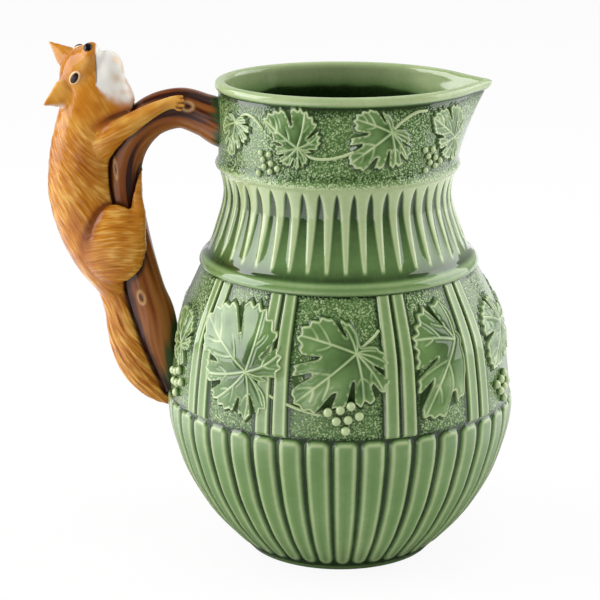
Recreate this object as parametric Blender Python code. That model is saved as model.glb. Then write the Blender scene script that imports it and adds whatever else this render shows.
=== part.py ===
"""Fox pitcher: a glazed jug with sprigged vine leaves and grapes, and a branch for a handle, up which
a fox climbs. Metres, +Z up, origin at the centre of the foot, pouring lip towards +X, near side -Y."""
import math

import bmesh
import bpy
from mathutils import Matrix, Vector

MM = 0.001

# Body: spans of height, one on another from the table up
FLUTE_BOTTOM = 5 * MM
FLUTE_LENGTH = 72 * MM
PANEL_HEIGHT = 64 * MM
BELT_WIDTH = 5.2 * MM
BELT_TO_RIBS = 3.8 * MM
RIB_LENGTH = 33 * MM
RIBS_TO_BEAD = 5 * MM
NECK_HEIGHT = 39.8 * MM
FLUTE_TOP = FLUTE_BOTTOM + FLUTE_LENGTH
BELT_BOTTOM = FLUTE_TOP + PANEL_HEIGHT
RIB_BOTTOM = BELT_BOTTOM + BELT_WIDTH + BELT_TO_RIBS
RIB_TOP = RIB_BOTTOM + RIB_LENGTH
BEAD_HEIGHT = RIB_TOP + RIBS_TO_BEAD
RIM_HEIGHT = BEAD_HEIGHT + NECK_HEIGHT

# Body: radii of the outer wall, the lower two at thirds of the belly's height
FOOT_RADIUS = 44.6 * MM
LOWER_CURVE_RADIUS = 65.6 * MM
MIDDLE_CURVE_RADIUS = 77.7 * MM
BELLY_HEIGHT = 72 * MM
BELLY_RADIUS = 83 * MM
UPPER_CURVE_RADIUS = 79.4 * MM
BELT_RADIUS = 64.9 * MM
THROAT_RADIUS = 58 * MM
WAIST_BELOW_BEAD = 12 * MM
WAIST_RADIUS = 53.7 * MM
BEAD_NECK_RADIUS = 56 * MM
NECK_LEAN = -1.5 * MM
WALL = 5 * MM
BASE_THICKNESS = 7 * MM
BELT_HEIGHT = BELT_BOTTOM + BELT_WIDTH / 2
UPPER_CURVE_HEIGHT = (BELLY_HEIGHT + BELT_HEIGHT) / 2
THROAT_HEIGHT = RIB_BOTTOM + RIB_LENGTH / 4
WAIST_HEIGHT = BEAD_HEIGHT - WAIST_BELOW_BEAD

# Mouth: an oval drawn out into a pinched lip
RIM_HANDLE_REACH = 57.4 * MM
RIM_SIDE_REACH = 48 * MM
RIM_FRONT_REACH = 60 * MM
LIP_REACH = 9.6 * MM
LIP_SPREAD = math.radians(7.5)
LIP_TIP_ROUNDING = math.radians(2)
LIP_FLARE = 1.6
RIM_BAND = 4.8 * MM
RIM_PROUD = 1.5 * MM
RIM_ROUNDING = 1.3 * MM
RIM_THICKNESS = 5 * MM

# Relief of the body, cut into the outer wall or standing off it
FLUTES = 40
FLUTE_PHASE = math.radians(-88)
FLUTE_END = 5 * MM
FLUTE_CAP = 1.7 * MM
FLUTE_DEPTH = 2 * MM
FLUTE_SHOULDER = 0.5 * MM
FLUTE_SHOULDER_SHARE = 0.33
PANEL_LEDGE = 1 * MM
STRAP_ANGLES = tuple(math.radians(a) for a in (38, 70, 112.5, 144))
STRAP_WIDTH = math.radians(4.2)
STRAP_SIDE = math.radians(0.6)
STRAP_GAP = math.radians(0.6)
STRAP_SPACING = STRAP_WIDTH + 2 * STRAP_SIDE + STRAP_GAP
STRAP_RISE = 1.2 * MM
BELT_PROUD = 0.9 * MM
BELT_GROOVE = 1.6 * MM
RIBS = 44
RIB_PHASE = math.radians(-104)
RIB_TIP_FADE = 2 * MM
RIB_TIP_WIDTH = math.radians(1.2)
RIB_WIDTH = math.radians(4.4)
RIB_SIDE = math.radians(0.8)
RIB_DEPTH = 1.8 * MM
BEAD_HALF = 2.4 * MM
BEAD_PROUD = 1.6 * MM

# Facets: sides of the plain rings, widest step on the panels' ground, and steps up each zone
GROUND_STEP = math.radians(8)
BELT_SIDES = 72
NECK_SIDES = 64
INSIDE_SIDES = 40
FLUTE_STEPS = 2
PANEL_STEPS = 4
RIB_STEPS = 2
NECK_STEPS = 4
SHARP_EDGE = math.radians(40)

# Joints of slip between the pieces of clay
JOINT = 0.3 * MM

# Vine leaves: half outline as angle from the tip in degrees and share of the leaf's length
LEAF_LOBES = ((0, 1.0), (12, 0.84), (27, 0.62), (41, 0.61), (52, 0.66), (65, 0.53), (80, 0.47),
              (95, 0.52), (110, 0.48), (128, 0.38), (152, 0.36), (180, 0.1))
LEAF_VEIN_RING = 0.55
LEAF_SUNK = 2.5 * MM
# Each leaf: where its stalk and its tip lie, as angle in degrees and share of the height of its panel
# or of the neck band, and how wide its half on the tip's right is pressed, as a share
BELLY_LEAVES = ((-158, 0.484, -169, 0.688, 1), (-122, 0.453, -145.5, 0.773, 1),
                (-84.5, 0.633, -103.5, 0.312, 1), (-47.5, 0.648, -60, 0.148, 0.45),
                (-15, 0.625, -28, 0.328, 1))
BELLY_LEAF_EDGE = 2.7 * MM
BELLY_LEAF_RISE = 3.3 * MM
NECK_LEAVES = ((-148.3, 0.687, -152, 0.202, 1), (-111, 0.463, -131.5, 0.822, 0.72),
               (-64.6, 0.663, -85, 0.31, 1), (-25, 0.463, -41, 0.81, 1))
NECK_LEAF_EDGE = 1.5 * MM
NECK_LEAF_RISE = 2.2 * MM

# Grapes: bunches placed as the leaves are, of berries in rows on a thin backing
BELLY_GRAPES = ((-160, 0.172), (-88.5, 0.165), (-21, 0.15))
BELLY_BERRY_RADIUS = 2.3 * MM
BELLY_BERRY_COUNTS = (3, 3, 1)
NECK_GRAPES = ((-128.5, 0.232), (-45, 0.26))
NECK_BERRY_RADIUS = 1.5 * MM
NECK_BERRY_COUNTS = (2, 3, 2, 1)
BERRY_SPACING = 2.15
BERRY_INSET = 0.3
BERRY_RISE = 0.75
BERRY_CROWN = 0.4
BACKING_RISE = 0.7 * MM
BERRY_WELD = 0.1 * MM

# Branch handle: its centre line from the neck down to the belly, as distance off the wall, share of
# the rise from the belly joint to the neck joint, and radius of the branch there
NECK_JOINT_DROP = 21.8 * MM
NECK_JOINT_RADIUS = 10 * MM
BELLY_JOINT_HEIGHT = 76 * MM
BELLY_JOINT_RADIUS = 5 * MM
BRANCH_LINE = ((6.6 * MM, 1.04, 9.6 * MM), (18.6 * MM, 1.063, 9.4 * MM), (32.5 * MM, 1.025, 9.3 * MM),
               (42 * MM, 0.927, 8.8 * MM), (47.3 * MM, 0.785, 8.5 * MM), (38.6 * MM, 0.592, 9.1 * MM),
               (21 * MM, 0.392, 10 * MM), (12 * MM, 0.285, 10.7 * MM), (6.2 * MM, 0.177, 9.4 * MM))
BRANCH_SINK = 6 * MM
BRANCH_SIDES = 14
BRANCH_STEPS = 3

# Fox: each section has its share of the handle's rise, then in millimetres its centre outward from the
# branch's centre line and to the near side, and its half sizes outward and sideways
TORSO = ((0.331, 14.5, 0, 4, 4), (0.377, 15, 0, 8.5, 9), (0.454, 15.5, 0, 13.4, 14),
         (0.546, 17.8, 0, 15.8, 16.6), (0.638, 19, 0, 17, 17), (0.754, 20, 0, 16.6, 16),
         (0.869, 19.4, 0, 15.4, 15), (0.977, 17, 0, 14.8, 14.6), (1.054, 12.8, 0, 16.6, 13.6),
         (1.123, 11.8, 0, 14.6, 12), (1.192, 9.4, 0, 10.4, 9.4), (1.246, 7.2, 0, 5.2, 5))
HIND_LEG = ((0.431, 3, 13, 4, 3), (0.477, 6, 13.5, 11, 7), (0.546, 7.5, 14, 15.4, 9),
            (0.631, 6.2, 14, 15.4, 9), (0.692, 4, 13.5, 12.4, 7.5), (0.735, 1, 13, 6, 4))
FAR_LEG_RAISE = 0.092
TAIL = ((0.369, 12, 0, 6, 6.5), (0.315, 12, 0, 8.2, 8.5), (0.231, 12.8, 0, 10, 9.8),
        (0.146, 12.9, 0, 10.2, 9.8), (0.069, 11.6, 0, 9, 8.4), (0.008, 8.2, 0, 7, 6),
        (-0.038, 3, 0, 3.6, 3), (-0.055, 0.6, 0, 1.2, 1.2))
# Foreleg: the point of the branch line that a section is set off from, then in millimetres its centre
# outward, upward and to the near side of that point, and its radius
FORE_LEG = ((3, 13.5, 2.5, 12, 7), (3, 5.5, 9, 13, 6.4), (2, 6, 2.3, 11.5, 5.2), (2, -2, 7.3, 9, 4.5),
            (1, 5, 4.6, 8.4, 4.2), (1, -0.5, 4.4, 8.8, 4.4), (1, -4.2, 3.2, 9, 2.2))
FOX_SIDES = 14
LEG_SIDES = 10

# Fox's head: share of the handle's rise, outward and near offsets of its centre, the way the muzzle and
# the crown point, and in millimetres sections along the muzzle with the offset towards the crown and
# the half sizes across and towards the crown
HEAD_SHARE = 1.194
HEAD_OUT = 17 * MM
HEAD_NEAR = 1.5 * MM
MUZZLE_WAY = Vector((0.135, -0.82, 0.555))
CROWN_WAY = Vector((-0.975, -0.018, 0.211))
HEAD = ((-13.5, 0, 5, 5), (-10, 0, 10, 9.6), (-4, 0, 13.6, 12.4), (3, -0.5, 13.4, 12.2),
        (9, -1.6, 10.4, 9.8), (14.5, -3, 7, 7), (20, -4, 5, 5), (24.5, -4.2, 3, 3))
# Ears: offsets from the head's centre forward, to the crown and sideways, and the outline as shares
# of the length and of the width
EAR_BASE = Vector((-4.5, 9, 8.2)) * MM
EAR_TIPS = {"near": Vector((-11.5, 15.1, 14.5)) * MM, "far": Vector((-12.5, 19.6, 16.5)) * MM}
EAR_OUTLINE = ((0, 1), (0.35, 0.95), (0.7, 0.6), (1, 0.12))
EAR_WIDTH = 6.4 * MM
EAR_THICKNESS = 2.6 * MM
EAR_SIDES = 8

GLAZE_GREEN = (0.19, 0.31, 0.11, 1)
GLAZE_PALE = (0.35, 0.46, 0.24, 1)
BARK_BROWN = (0.11, 0.035, 0.015, 1)
FOX_ORANGE = (0.55, 0.22, 0.045, 1)
GLAZE_ROUGHNESS = 0.15


def clear_scene():
    for old in list(bpy.data.objects):
        bpy.data.objects.remove(old)


def glaze(name, colour):
    material = bpy.data.materials.new(name)
    material.use_nodes = True
    shader = material.node_tree.nodes["Principled BSDF"]
    shader.inputs["Base Color"].default_value = colour
    shader.inputs["Roughness"].default_value = GLAZE_ROUGHNESS
    shader.inputs["Metallic"].default_value = 0
    return material


def add_object(name, bm, material=None):
    """Turn a bmesh into a named object. With no material it is a cutter or a guide."""
    bmesh.ops.triangulate(bm, faces=bm.faces)
    bmesh.ops.recalc_face_normals(bm, faces=bm.faces)
    mesh = bpy.data.meshes.new(name)
    bm.to_mesh(mesh)
    bm.free()
    piece = bpy.data.objects.new(name, mesh)
    bpy.context.collection.objects.link(piece)
    if material is None:
        piece.hide_render = True
        piece.display_type = "WIRE"
    else:
        mesh.materials.append(material)
        mesh.shade_smooth()
        mesh.set_sharp_from_angle(angle=SHARP_EDGE)
    return piece


def cut(piece, cutter):
    modifier = piece.modifiers.new(cutter.name, "BOOLEAN")
    modifier.operation = "DIFFERENCE"
    modifier.object = cutter


def curve_through(points, steps):
    """Points on a smooth curve through the given ones, which may be vectors of any length."""
    first = [2 * a - b for a, b in zip(points[0], points[1])]
    last = [2 * a - b for a, b in zip(points[-1], points[-2])]
    chain = [first, *points, last]
    line = []
    for before, start, end, after in zip(chain, chain[1:], chain[2:], chain[3:]):
        for step in range(steps):
            t = step / steps
            line.append([b + t * (c - a) / 2 + t * t * (a - 2.5 * b + 2 * c - d / 2)
                         + t ** 3 * (1.5 * (b - c) + (d - a) / 2)
                         for a, b, c, d in zip(before, start, end, after)])
    return line + [list(points[-1])]


def ease(value):
    value = min(max(value, 0), 1)
    return value * value * (3 - 2 * value)


BODY_CURVE = ((0, FOOT_RADIUS), (BELLY_HEIGHT / 3, LOWER_CURVE_RADIUS),
              (BELLY_HEIGHT * 2 / 3, MIDDLE_CURVE_RADIUS), (BELLY_HEIGHT, BELLY_RADIUS),
              (UPPER_CURVE_HEIGHT, UPPER_CURVE_RADIUS), (BELT_HEIGHT, BELT_RADIUS),
              (THROAT_HEIGHT, THROAT_RADIUS), (WAIST_HEIGHT, WAIST_RADIUS),
              (BEAD_HEIGHT, BEAD_NECK_RADIUS))


def curve_chord(index):
    """Slope of the straight line from one point of the body's outline to the next."""
    (low, low_radius), (high, high_radius) = BODY_CURVE[index:index + 2]
    return (high_radius - low_radius) / (high - low)


def curve_slope(index):
    """Slope of the body's outline at one of its points, level where the outline turns back."""
    if index == 0:
        return curve_chord(0)
    if index == len(BODY_CURVE) - 1:
        return curve_chord(index - 1)
    before = curve_chord(index - 1)
    after = curve_chord(index)
    return 0 if before * after <= 0 else 2 * before * after / (before + after)


def body_curve(height):
    """Radius of the outer wall below the bead, on a smooth curve that never swings past its points."""
    index = max(i for i, point in enumerate(BODY_CURVE[:-1]) if point[0] <= max(height, 0))
    (low, low_radius), (high, high_radius) = BODY_CURVE[index:index + 2]
    span = high - low
    t = (height - low) / span
    lift = ease(t)
    start_pull = span * curve_slope(index) * t * (1 - t) ** 2
    end_pull = span * curve_slope(index + 1) * t * t * (1 - t)
    return low_radius + (high_radius - low_radius) * lift + start_pull - end_pull


def outer_radius(height, angle):
    """Distance of the outer wall from the axis, without relief."""
    lean = NECK_LEAN * math.cos(angle)
    if height <= BEAD_HEIGHT:
        lean_share = (height - UPPER_CURVE_HEIGHT) / (WAIST_HEIGHT - UPPER_CURVE_HEIGHT)
        return body_curve(height) + lean * ease(lean_share)
    share = (height - BEAD_HEIGHT) / (RIM_HEIGHT - BEAD_HEIGHT)
    toward_lip = math.cos(angle) > 0
    neck_reach = BEAD_NECK_RADIUS + (NECK_LEAN if toward_lip else -NECK_LEAN)
    rim_reach = RIM_FRONT_REACH if toward_lip else RIM_HANDLE_REACH
    reach = neck_reach + (rim_reach - neck_reach) * share
    side = BEAD_NECK_RADIUS + (RIM_SIDE_REACH - BEAD_NECK_RADIUS) * ease(share)
    oval = reach * side / math.hypot(side * math.cos(angle), reach * math.sin(angle))
    turn = math.remainder(angle, math.tau)
    away = math.hypot(turn, LIP_TIP_ROUNDING) - LIP_TIP_ROUNDING
    return oval + LIP_REACH * share ** LIP_FLARE * math.exp(-away / LIP_SPREAD)


def on_wall(angle, height, rise):
    radius = outer_radius(height, angle) + rise
    return Vector((radius * math.cos(angle), radius * math.sin(angle), height))


def add_ring(bm, height, reliefs):
    """A closed ring round the body. Each relief is an angle and how far it stands off the outer wall."""
    ring = [bm.verts.new(on_wall(angle, height, rise)) for angle, rise in reliefs]
    return [bm.edges.new(pair) for pair in zip(ring, ring[1:] + ring[:1])]


def even_ring(count, rise):
    return [(math.tau * step / count, rise) for step in range(count)]


def flute_ring(groove, shoulder, crown):
    pitch = math.tau / FLUTES
    ring = []
    for flute in range(FLUTES):
        centre = FLUTE_PHASE + flute * pitch
        ring += [(centre - pitch / 2, groove), (centre - pitch * FLUTE_SHOULDER_SHARE, shoulder),
                 (centre, crown), (centre + pitch * FLUTE_SHOULDER_SHARE, shoulder)]
    return ring


def strap_centres():
    pairs = sorted([-angle for angle in STRAP_ANGLES] + list(STRAP_ANGLES))
    return [pair + side * STRAP_SPACING / 2 for pair in pairs for side in (-1, 1)]


def panel_ring():
    ring = []
    centres = strap_centres()
    half = STRAP_WIDTH / 2
    for centre, following in zip(centres, centres[1:] + [centres[0] + math.tau]):
        ring += [(centre - half - STRAP_SIDE, -STRAP_RISE), (centre - half, 0),
                 (centre + half, 0), (centre + half + STRAP_SIDE, -STRAP_RISE)]
        start = centre + half + STRAP_SIDE
        width = following - half - STRAP_SIDE - start
        steps = max(math.ceil(width / GROUND_STEP), 1)
        ring += [(start + width * step / steps, -STRAP_RISE) for step in range(1, steps)]
    return ring


def rib_ring(height, crown):
    share = (height - RIB_BOTTOM) / (RIB_TOP - RIB_BOTTOM)
    half = (RIB_TIP_WIDTH + (RIB_WIDTH - RIB_TIP_WIDTH) * share) / 2
    ring = []
    for rib in range(RIBS):
        centre = RIB_PHASE + rib * math.tau / RIBS
        ring += [(centre - half - RIB_SIDE, -RIB_DEPTH), (centre - half, crown),
                 (centre + half, crown), (centre + half + RIB_SIDE, -RIB_DEPTH)]
    return ring


def zone(bottom, height, steps):
    """Heights at even steps from the bottom of a zone to its top, both included."""
    return [bottom + height * step / steps for step in range(steps + 1)]


def outside_rings():
    """Height and relief of every ring on the outer wall, from the foot to the top of the rim."""
    smooth = flute_ring(-FLUTE_SHOULDER, -FLUTE_SHOULDER, -FLUTE_SHOULDER)
    full = flute_ring(-FLUTE_DEPTH, -FLUTE_SHOULDER, 0)
    cap = flute_ring(-FLUTE_DEPTH, -STRAP_RISE, -FLUTE_SHOULDER)
    ledge = flute_ring(-STRAP_RISE, -STRAP_RISE, -STRAP_RISE)
    rings = [(0, flute_ring(0, 0, 0)), (FLUTE_BOTTOM, smooth)]
    full_heights = zone(FLUTE_BOTTOM + FLUTE_END, FLUTE_LENGTH - 2 * FLUTE_END, FLUTE_STEPS)
    rings += [(height, full) for height in full_heights]
    rings += [(FLUTE_TOP - FLUTE_CAP, cap), (FLUTE_TOP, ledge)]
    panel = panel_ring()
    rings += [(height, panel) for height in
              zone(FLUTE_TOP + PANEL_LEDGE, PANEL_HEIGHT - PANEL_LEDGE, PANEL_STEPS)]
    belt = even_ring(BELT_SIDES, BELT_PROUD)
    belt_edge = BELT_WIDTH / 4
    rings += [(BELT_BOTTOM + belt_edge, belt), (BELT_BOTTOM + BELT_WIDTH - belt_edge, belt),
              (BELT_BOTTOM + BELT_WIDTH, even_ring(BELT_SIDES, -BELT_GROOVE))]
    rings.append((RIB_BOTTOM - RIB_TIP_FADE, rib_ring(RIB_BOTTOM, -RIB_DEPTH)))
    rings += [(height, rib_ring(height, 0)) for height in zone(RIB_BOTTOM, RIB_LENGTH, RIB_STEPS)]
    plain = even_ring(NECK_SIDES, 0)
    neck_bottom = BEAD_HEIGHT + BEAD_HALF
    band_bottom = RIM_HEIGHT - RIM_BAND
    rings += [(BEAD_HEIGHT - BEAD_HALF, plain), (BEAD_HEIGHT, even_ring(NECK_SIDES, BEAD_PROUD))]
    rings += [(height, plain) for height in zone(neck_bottom, band_bottom - neck_bottom, NECK_STEPS)]
    rolled = even_ring(NECK_SIDES, RIM_PROUD)
    crown = even_ring(NECK_SIDES, RIM_PROUD - RIM_THICKNESS / 2)
    rings += [(band_bottom + RIM_ROUNDING, rolled), (RIM_HEIGHT - RIM_ROUNDING, rolled)]
    return rings + [(RIM_HEIGHT, crown)]


def inside_rings():
    """Height and depth behind the outer wall of the rings inside, from the rim down to the floor."""
    rings = [(RIM_HEIGHT - RIM_ROUNDING, even_ring(NECK_SIDES, RIM_PROUD - RIM_THICKNESS))]
    heights = [RIM_HEIGHT - RIM_BAND, RIM_HEIGHT - NECK_HEIGHT / 2, BEAD_HEIGHT, WAIST_HEIGHT,
               THROAT_HEIGHT, BELT_HEIGHT, UPPER_CURVE_HEIGHT, (UPPER_CURVE_HEIGHT + BELLY_HEIGHT) / 2,
               BELLY_HEIGHT, BELLY_HEIGHT * 2 / 3, BELLY_HEIGHT / 3, BASE_THICKNESS]
    return rings + [(height, even_ring(INSIDE_SIDES, -WALL)) for height in heights]


def stack(bm, rings):
    loops = [add_ring(bm, height, reliefs) for height, reliefs in rings]
    for lower, upper in zip(loops, loops[1:]):
        bmesh.ops.bridge_loops(bm, edges=lower + upper)
    for end in (loops[0], loops[-1]):
        bmesh.ops.edgeloop_fill(bm, edges=end)


def jug_body(material):
    bm = bmesh.new()
    stack(bm, outside_rings() + inside_rings())
    return add_object("jug_body", bm, material)


def body_cutter():
    """The body as a full solid, larger by the joint, which shapes the foot of everything luted to it."""
    bm = bmesh.new()
    stack(bm, [(height, [(angle, rise + JOINT) for angle, rise in reliefs])
               for height, reliefs in outside_rings()])
    return add_object("body_cutter", bm)


def panel_height_at(share):
    return FLUTE_TOP + share * PANEL_HEIGHT


def neck_height_at(share):
    bottom = BEAD_HEIGHT + BEAD_HALF
    return bottom + share * (RIM_HEIGHT - RIM_BAND - bottom)


def surface_point(angle, height, across, up, rise):
    """A point beside the given one on the wall, by distances along the wall."""
    turn = across / outer_radius(height, angle)
    return on_wall(angle + turn, height + up, rise)


def leaf_mesh(leaf, side, height_at, edge_rise, rise, ground):
    """A five-lobed leaf on the wall, from under the surface up to its domed face."""
    stalk_angle, stalk_share, tip_angle, tip_share, pressed = leaf
    height, tip_height = height_at(stalk_share), height_at(tip_share)
    angle = math.radians(side * stalk_angle)
    across = math.radians(side * (tip_angle - stalk_angle)) * outer_radius(height, angle)
    reach = math.hypot(across, tip_height - height)
    way = math.atan2(tip_height - height, across)
    full = [(math.radians(-side * turn), share) for turn, share in LEAF_LOBES]
    narrow = [(-turn, share * pressed) for turn, share in reversed(full[1:-1])]
    bm = bmesh.new()

    def loop(scale, stand):
        verts = []
        for turn, share in full + narrow:
            spoke = Vector((reach * share * scale, 0))
            spoke.rotate(Matrix.Rotation(way + turn, 2))
            verts.append(bm.verts.new(surface_point(angle, height, spoke.x, spoke.y, stand)))
        return [bm.edges.new(pair) for pair in zip(verts, verts[1:] + verts[:1])]

    loops = [loop(1, ground - LEAF_SUNK), loop(1, ground + edge_rise), loop(LEAF_VEIN_RING, ground + rise)]
    for lower, upper in zip(loops, loops[1:]):
        bmesh.ops.bridge_loops(bm, edges=lower + upper)
    for end in (loops[0], loops[-1]):
        cap = bmesh.ops.edgeloop_fill(bm, edges=end)["faces"]
        bmesh.ops.poke(bm, faces=cap)
    return bm


def tube_mesh(stations, sides, side_axis):
    """A closed loft through stations: centre, and half sizes square to the side axis and along it."""
    bm = bmesh.new()
    loops = []
    centres = [Vector(station[:3]) for station in stations]
    for index, station in enumerate(stations):
        ahead = centres[min(index + 1, len(centres) - 1)] - centres[max(index - 1, 0)]
        outward = side_axis.cross(ahead).normalized()
        sideways = ahead.cross(outward).normalized()
        verts = []
        for side in range(sides):
            turn = math.tau * side / sides
            spoke = outward * station[3] * math.cos(turn) + sideways * station[4] * math.sin(turn)
            verts.append(bm.verts.new(centres[index] + spoke))
        loops.append([bm.edges.new(pair) for pair in zip(verts, verts[1:] + verts[:1])])
    for lower, upper in zip(loops, loops[1:]):
        bmesh.ops.bridge_loops(bm, edges=lower + upper)
    for end in (loops[0], loops[-1]):
        bmesh.ops.edgeloop_fill(bm, edges=end)
    return bm


def leaf_sprigs(family, leaves, height_at, edge_rise, rise, ground, cutter, material):
    for side, side_name in ((1, "near"), (-1, "far")):
        for number, leaf in enumerate(leaves):
            name = f"{family}_leaf_{side_name}_{number + 1}"
            piece = add_object(name, leaf_mesh(leaf, side, height_at, edge_rise, rise, ground), material)
            cut(piece, cutter)


def berry_places(rows, pitch):
    """Centres of the berries, in rows that sit in each other's gaps, about the middle of the bunch."""
    places = []
    for row, count in enumerate(rows):
        start = row % 2 / 2 - (count - 1) // 2
        down = row * math.sqrt(3) / 2
        places += [Vector((start + column, -down, 0)) * pitch for column in range(count)]
    middle = sum(places, Vector()) / len(places)
    return [place - middle for place in places]


def grape_mesh(angle, height, rows, radius, ground):
    """A bunch of berries: a honeycomb plate on the wall, with each cell raised to a dome."""
    bm = bmesh.new()
    pitch = radius * BERRY_SPACING
    for place in berry_places(rows, pitch):
        bmesh.ops.create_circle(bm, cap_ends=True, segments=6, radius=pitch / math.sqrt(3),
                                matrix=Matrix.Translation(place))
    bmesh.ops.remove_doubles(bm, verts=bm.verts, dist=BERRY_WELD)
    raised = bmesh.ops.extrude_face_region(bm, geom=bm.faces[:], use_keep_orig=True)["geom"]
    raised_verts = [part for part in raised if isinstance(part, bmesh.types.BMVert)]
    bmesh.ops.translate(bm, vec=(0, 0, BACKING_RISE), verts=raised_verts)
    cells = [part for part in raised if isinstance(part, bmesh.types.BMFace)]
    bmesh.ops.recalc_face_normals(bm, faces=bm.faces)
    bmesh.ops.inset_individual(bm, faces=cells, thickness=radius * BERRY_INSET, depth=radius * BERRY_RISE)
    bmesh.ops.poke(bm, faces=cells, offset=radius * BERRY_CROWN)
    for vert in bm.verts:
        across, up, rise = vert.co
        vert.co = surface_point(angle, height, across, up, ground + JOINT + rise)
    return bm


def grape_sprigs(family, bunches, height_at, rows, radius, ground, material):
    for side, side_name in ((1, "near"), (-1, "far")):
        for number, (degrees, share) in enumerate(bunches):
            bunch = grape_mesh(math.radians(side * degrees), height_at(share), rows, radius, ground)
            add_object(f"{family}_grapes_{side_name}_{number + 1}", bunch, material)


def handle_height(share):
    neck_joint = RIM_HEIGHT - NECK_JOINT_DROP
    return BELLY_JOINT_HEIGHT + share * (neck_joint - BELLY_JOINT_HEIGHT)


def branch_points():
    """Reach from the axis, height and radius of the branch, from inside the neck wall to the belly's."""
    line = [(-BRANCH_SINK, 1, NECK_JOINT_RADIUS), *BRANCH_LINE, (-BRANCH_SINK, 0, BELLY_JOINT_RADIUS)]
    return [(outer_radius(handle_height(share), math.pi) + off_wall, handle_height(share), radius)
            for off_wall, share, radius in line]


def branch_line():
    return curve_through(branch_points(), BRANCH_STEPS)


def branch_mesh(grow):
    stations = [(-reach, 0, height, radius + grow, radius + grow)
                for reach, height, radius in branch_line()]
    return tube_mesh(stations, BRANCH_SIDES, Vector((0, 1, 0)))


def branch_reach(height):
    """How far the outer run of the branch stands from the axis at a height."""
    line = branch_line()
    peak = max(range(len(line)), key=lambda index: line[index][0])
    run = line[peak:]
    if height >= run[0][1]:
        return run[0][0]
    for (reach, high, _), (next_reach, low, _) in zip(run, run[1:]):
        if low <= height <= high:
            return reach + (next_reach - reach) * (high - height) / (high - low)
    return run[-1][0]


def fox_station(section, side, grow, raise_by=0):
    """A section of the fox set off from the branch, in world coordinates."""
    share, out, near, half_out, half_side = section
    level = handle_height(share + raise_by)
    reach = branch_reach(level) + out * MM
    return (-reach, -side * near * MM, level, half_out * MM + grow, half_side * MM + grow)


def torso_mesh(grow):
    stations = [fox_station(section, 1, grow) for section in TORSO]
    return tube_mesh(stations, FOX_SIDES, Vector((0, 1, 0)))


def tail_mesh(grow):
    stations = [fox_station(section, 1, grow) for section in TAIL]
    return tube_mesh(stations, FOX_SIDES, Vector((0, 1, 0)))


def hind_leg_mesh(side, grow):
    raise_by = 0 if side > 0 else FAR_LEG_RAISE
    stations = [fox_station(section, side, grow, raise_by) for section in HIND_LEG]
    return tube_mesh(stations, FOX_SIDES, Vector((0, 1, 0)))


def fore_leg_mesh(side, grow):
    run = branch_points()[1:]
    stations = []
    for point, out, up, near, radius in FORE_LEG:
        reach, height, _ = run[point]
        centre = (-reach - out * MM, -side * near * MM, height + up * MM)
        stations.append((*centre, radius * MM + grow, radius * MM + grow))
    return tube_mesh(stations, LEG_SIDES, Vector((0, 1, 0)))


def head_centre():
    height = handle_height(HEAD_SHARE)
    return Vector((-branch_reach(height) - HEAD_OUT, -HEAD_NEAR, height))


def head_axes():
    forward = MUZZLE_WAY.normalized()
    across = forward.cross(CROWN_WAY).normalized()
    crown = across.cross(forward)
    return forward, across, crown


def head_mesh(grow):
    forward, across, crown = head_axes()
    stations = []
    for along, up, half_across, half_up in HEAD:
        centre = head_centre() + (forward * along + crown * up) * MM
        stations.append((*centre, half_up * MM + grow, half_across * MM + grow))
    return tube_mesh(stations, FOX_SIDES, across)


def ear_mesh(side, local_tip):
    """A tapered leaf of clay from inside the head out to the ear's tip."""
    forward, across, crown = head_axes()
    base, tip = (head_centre() + forward * local.x + crown * local.y + across * (side * local.z)
                 for local in (EAR_BASE, local_tip))
    length = tip - base
    stations = [(*base.lerp(tip, share), EAR_THICKNESS * width, EAR_WIDTH * width)
                for share, width in EAR_OUTLINE]
    return tube_mesh(stations, EAR_SIDES, across.cross(length).cross(length).normalized())


def build():
    clear_scene()
    green = glaze("green_glaze", GLAZE_GREEN)
    pale = glaze("pale_green_glaze", GLAZE_PALE)
    bark = glaze("bark_brown_glaze", BARK_BROWN)
    orange = glaze("fox_orange_glaze", FOX_ORANGE)

    jug_body(green)
    body = body_cutter()
    leaf_sprigs("belly", BELLY_LEAVES, panel_height_at, BELLY_LEAF_EDGE, BELLY_LEAF_RISE,
                -STRAP_RISE, body, pale)
    leaf_sprigs("neck", NECK_LEAVES, neck_height_at, NECK_LEAF_EDGE, NECK_LEAF_RISE, 0, body, pale)
    grape_sprigs("belly", BELLY_GRAPES, panel_height_at, BELLY_BERRY_COUNTS, BELLY_BERRY_RADIUS,
                 -STRAP_RISE, pale)
    grape_sprigs("neck", NECK_GRAPES, neck_height_at, NECK_BERRY_COUNTS, NECK_BERRY_RADIUS, 0, pale)

    branch = add_object("handle_branch", branch_mesh(0), bark)
    cut(branch, body)
    branch_cutter = add_object("branch_cutter", branch_mesh(JOINT))
    head_cutter = add_object("head_cutter", head_mesh(JOINT))
    torso_cutter = add_object("torso_cutter", torso_mesh(JOINT))

    add_object("fox_head", head_mesh(0), orange)
    torso = add_object("fox_torso", torso_mesh(0), orange)
    cut(torso, branch_cutter)
    cut(torso, head_cutter)
    leg_cutters = []
    for side, name in ((1, "near"), (-1, "far")):
        ear = add_object("fox_ear_" + name, ear_mesh(side, EAR_TIPS[name]), orange)
        cut(ear, head_cutter)
        cut(ear, torso_cutter)
        fore_leg = add_object("fox_foreleg_" + name, fore_leg_mesh(side, 0), orange)
        hind_leg = add_object("fox_hindleg_" + name, hind_leg_mesh(side, 0), orange)
        for leg in (fore_leg, hind_leg):
            cut(leg, branch_cutter)
            cut(leg, torso_cutter)
        leg_cutters.append(add_object("hindleg_cutter_" + name, hind_leg_mesh(side, JOINT)))
    tail = add_object("fox_tail", tail_mesh(0), orange)
    for cutter in (branch_cutter, torso_cutter, body, *leg_cutters):
        cut(tail, cutter)


build()
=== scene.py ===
import bisect
import math

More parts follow.
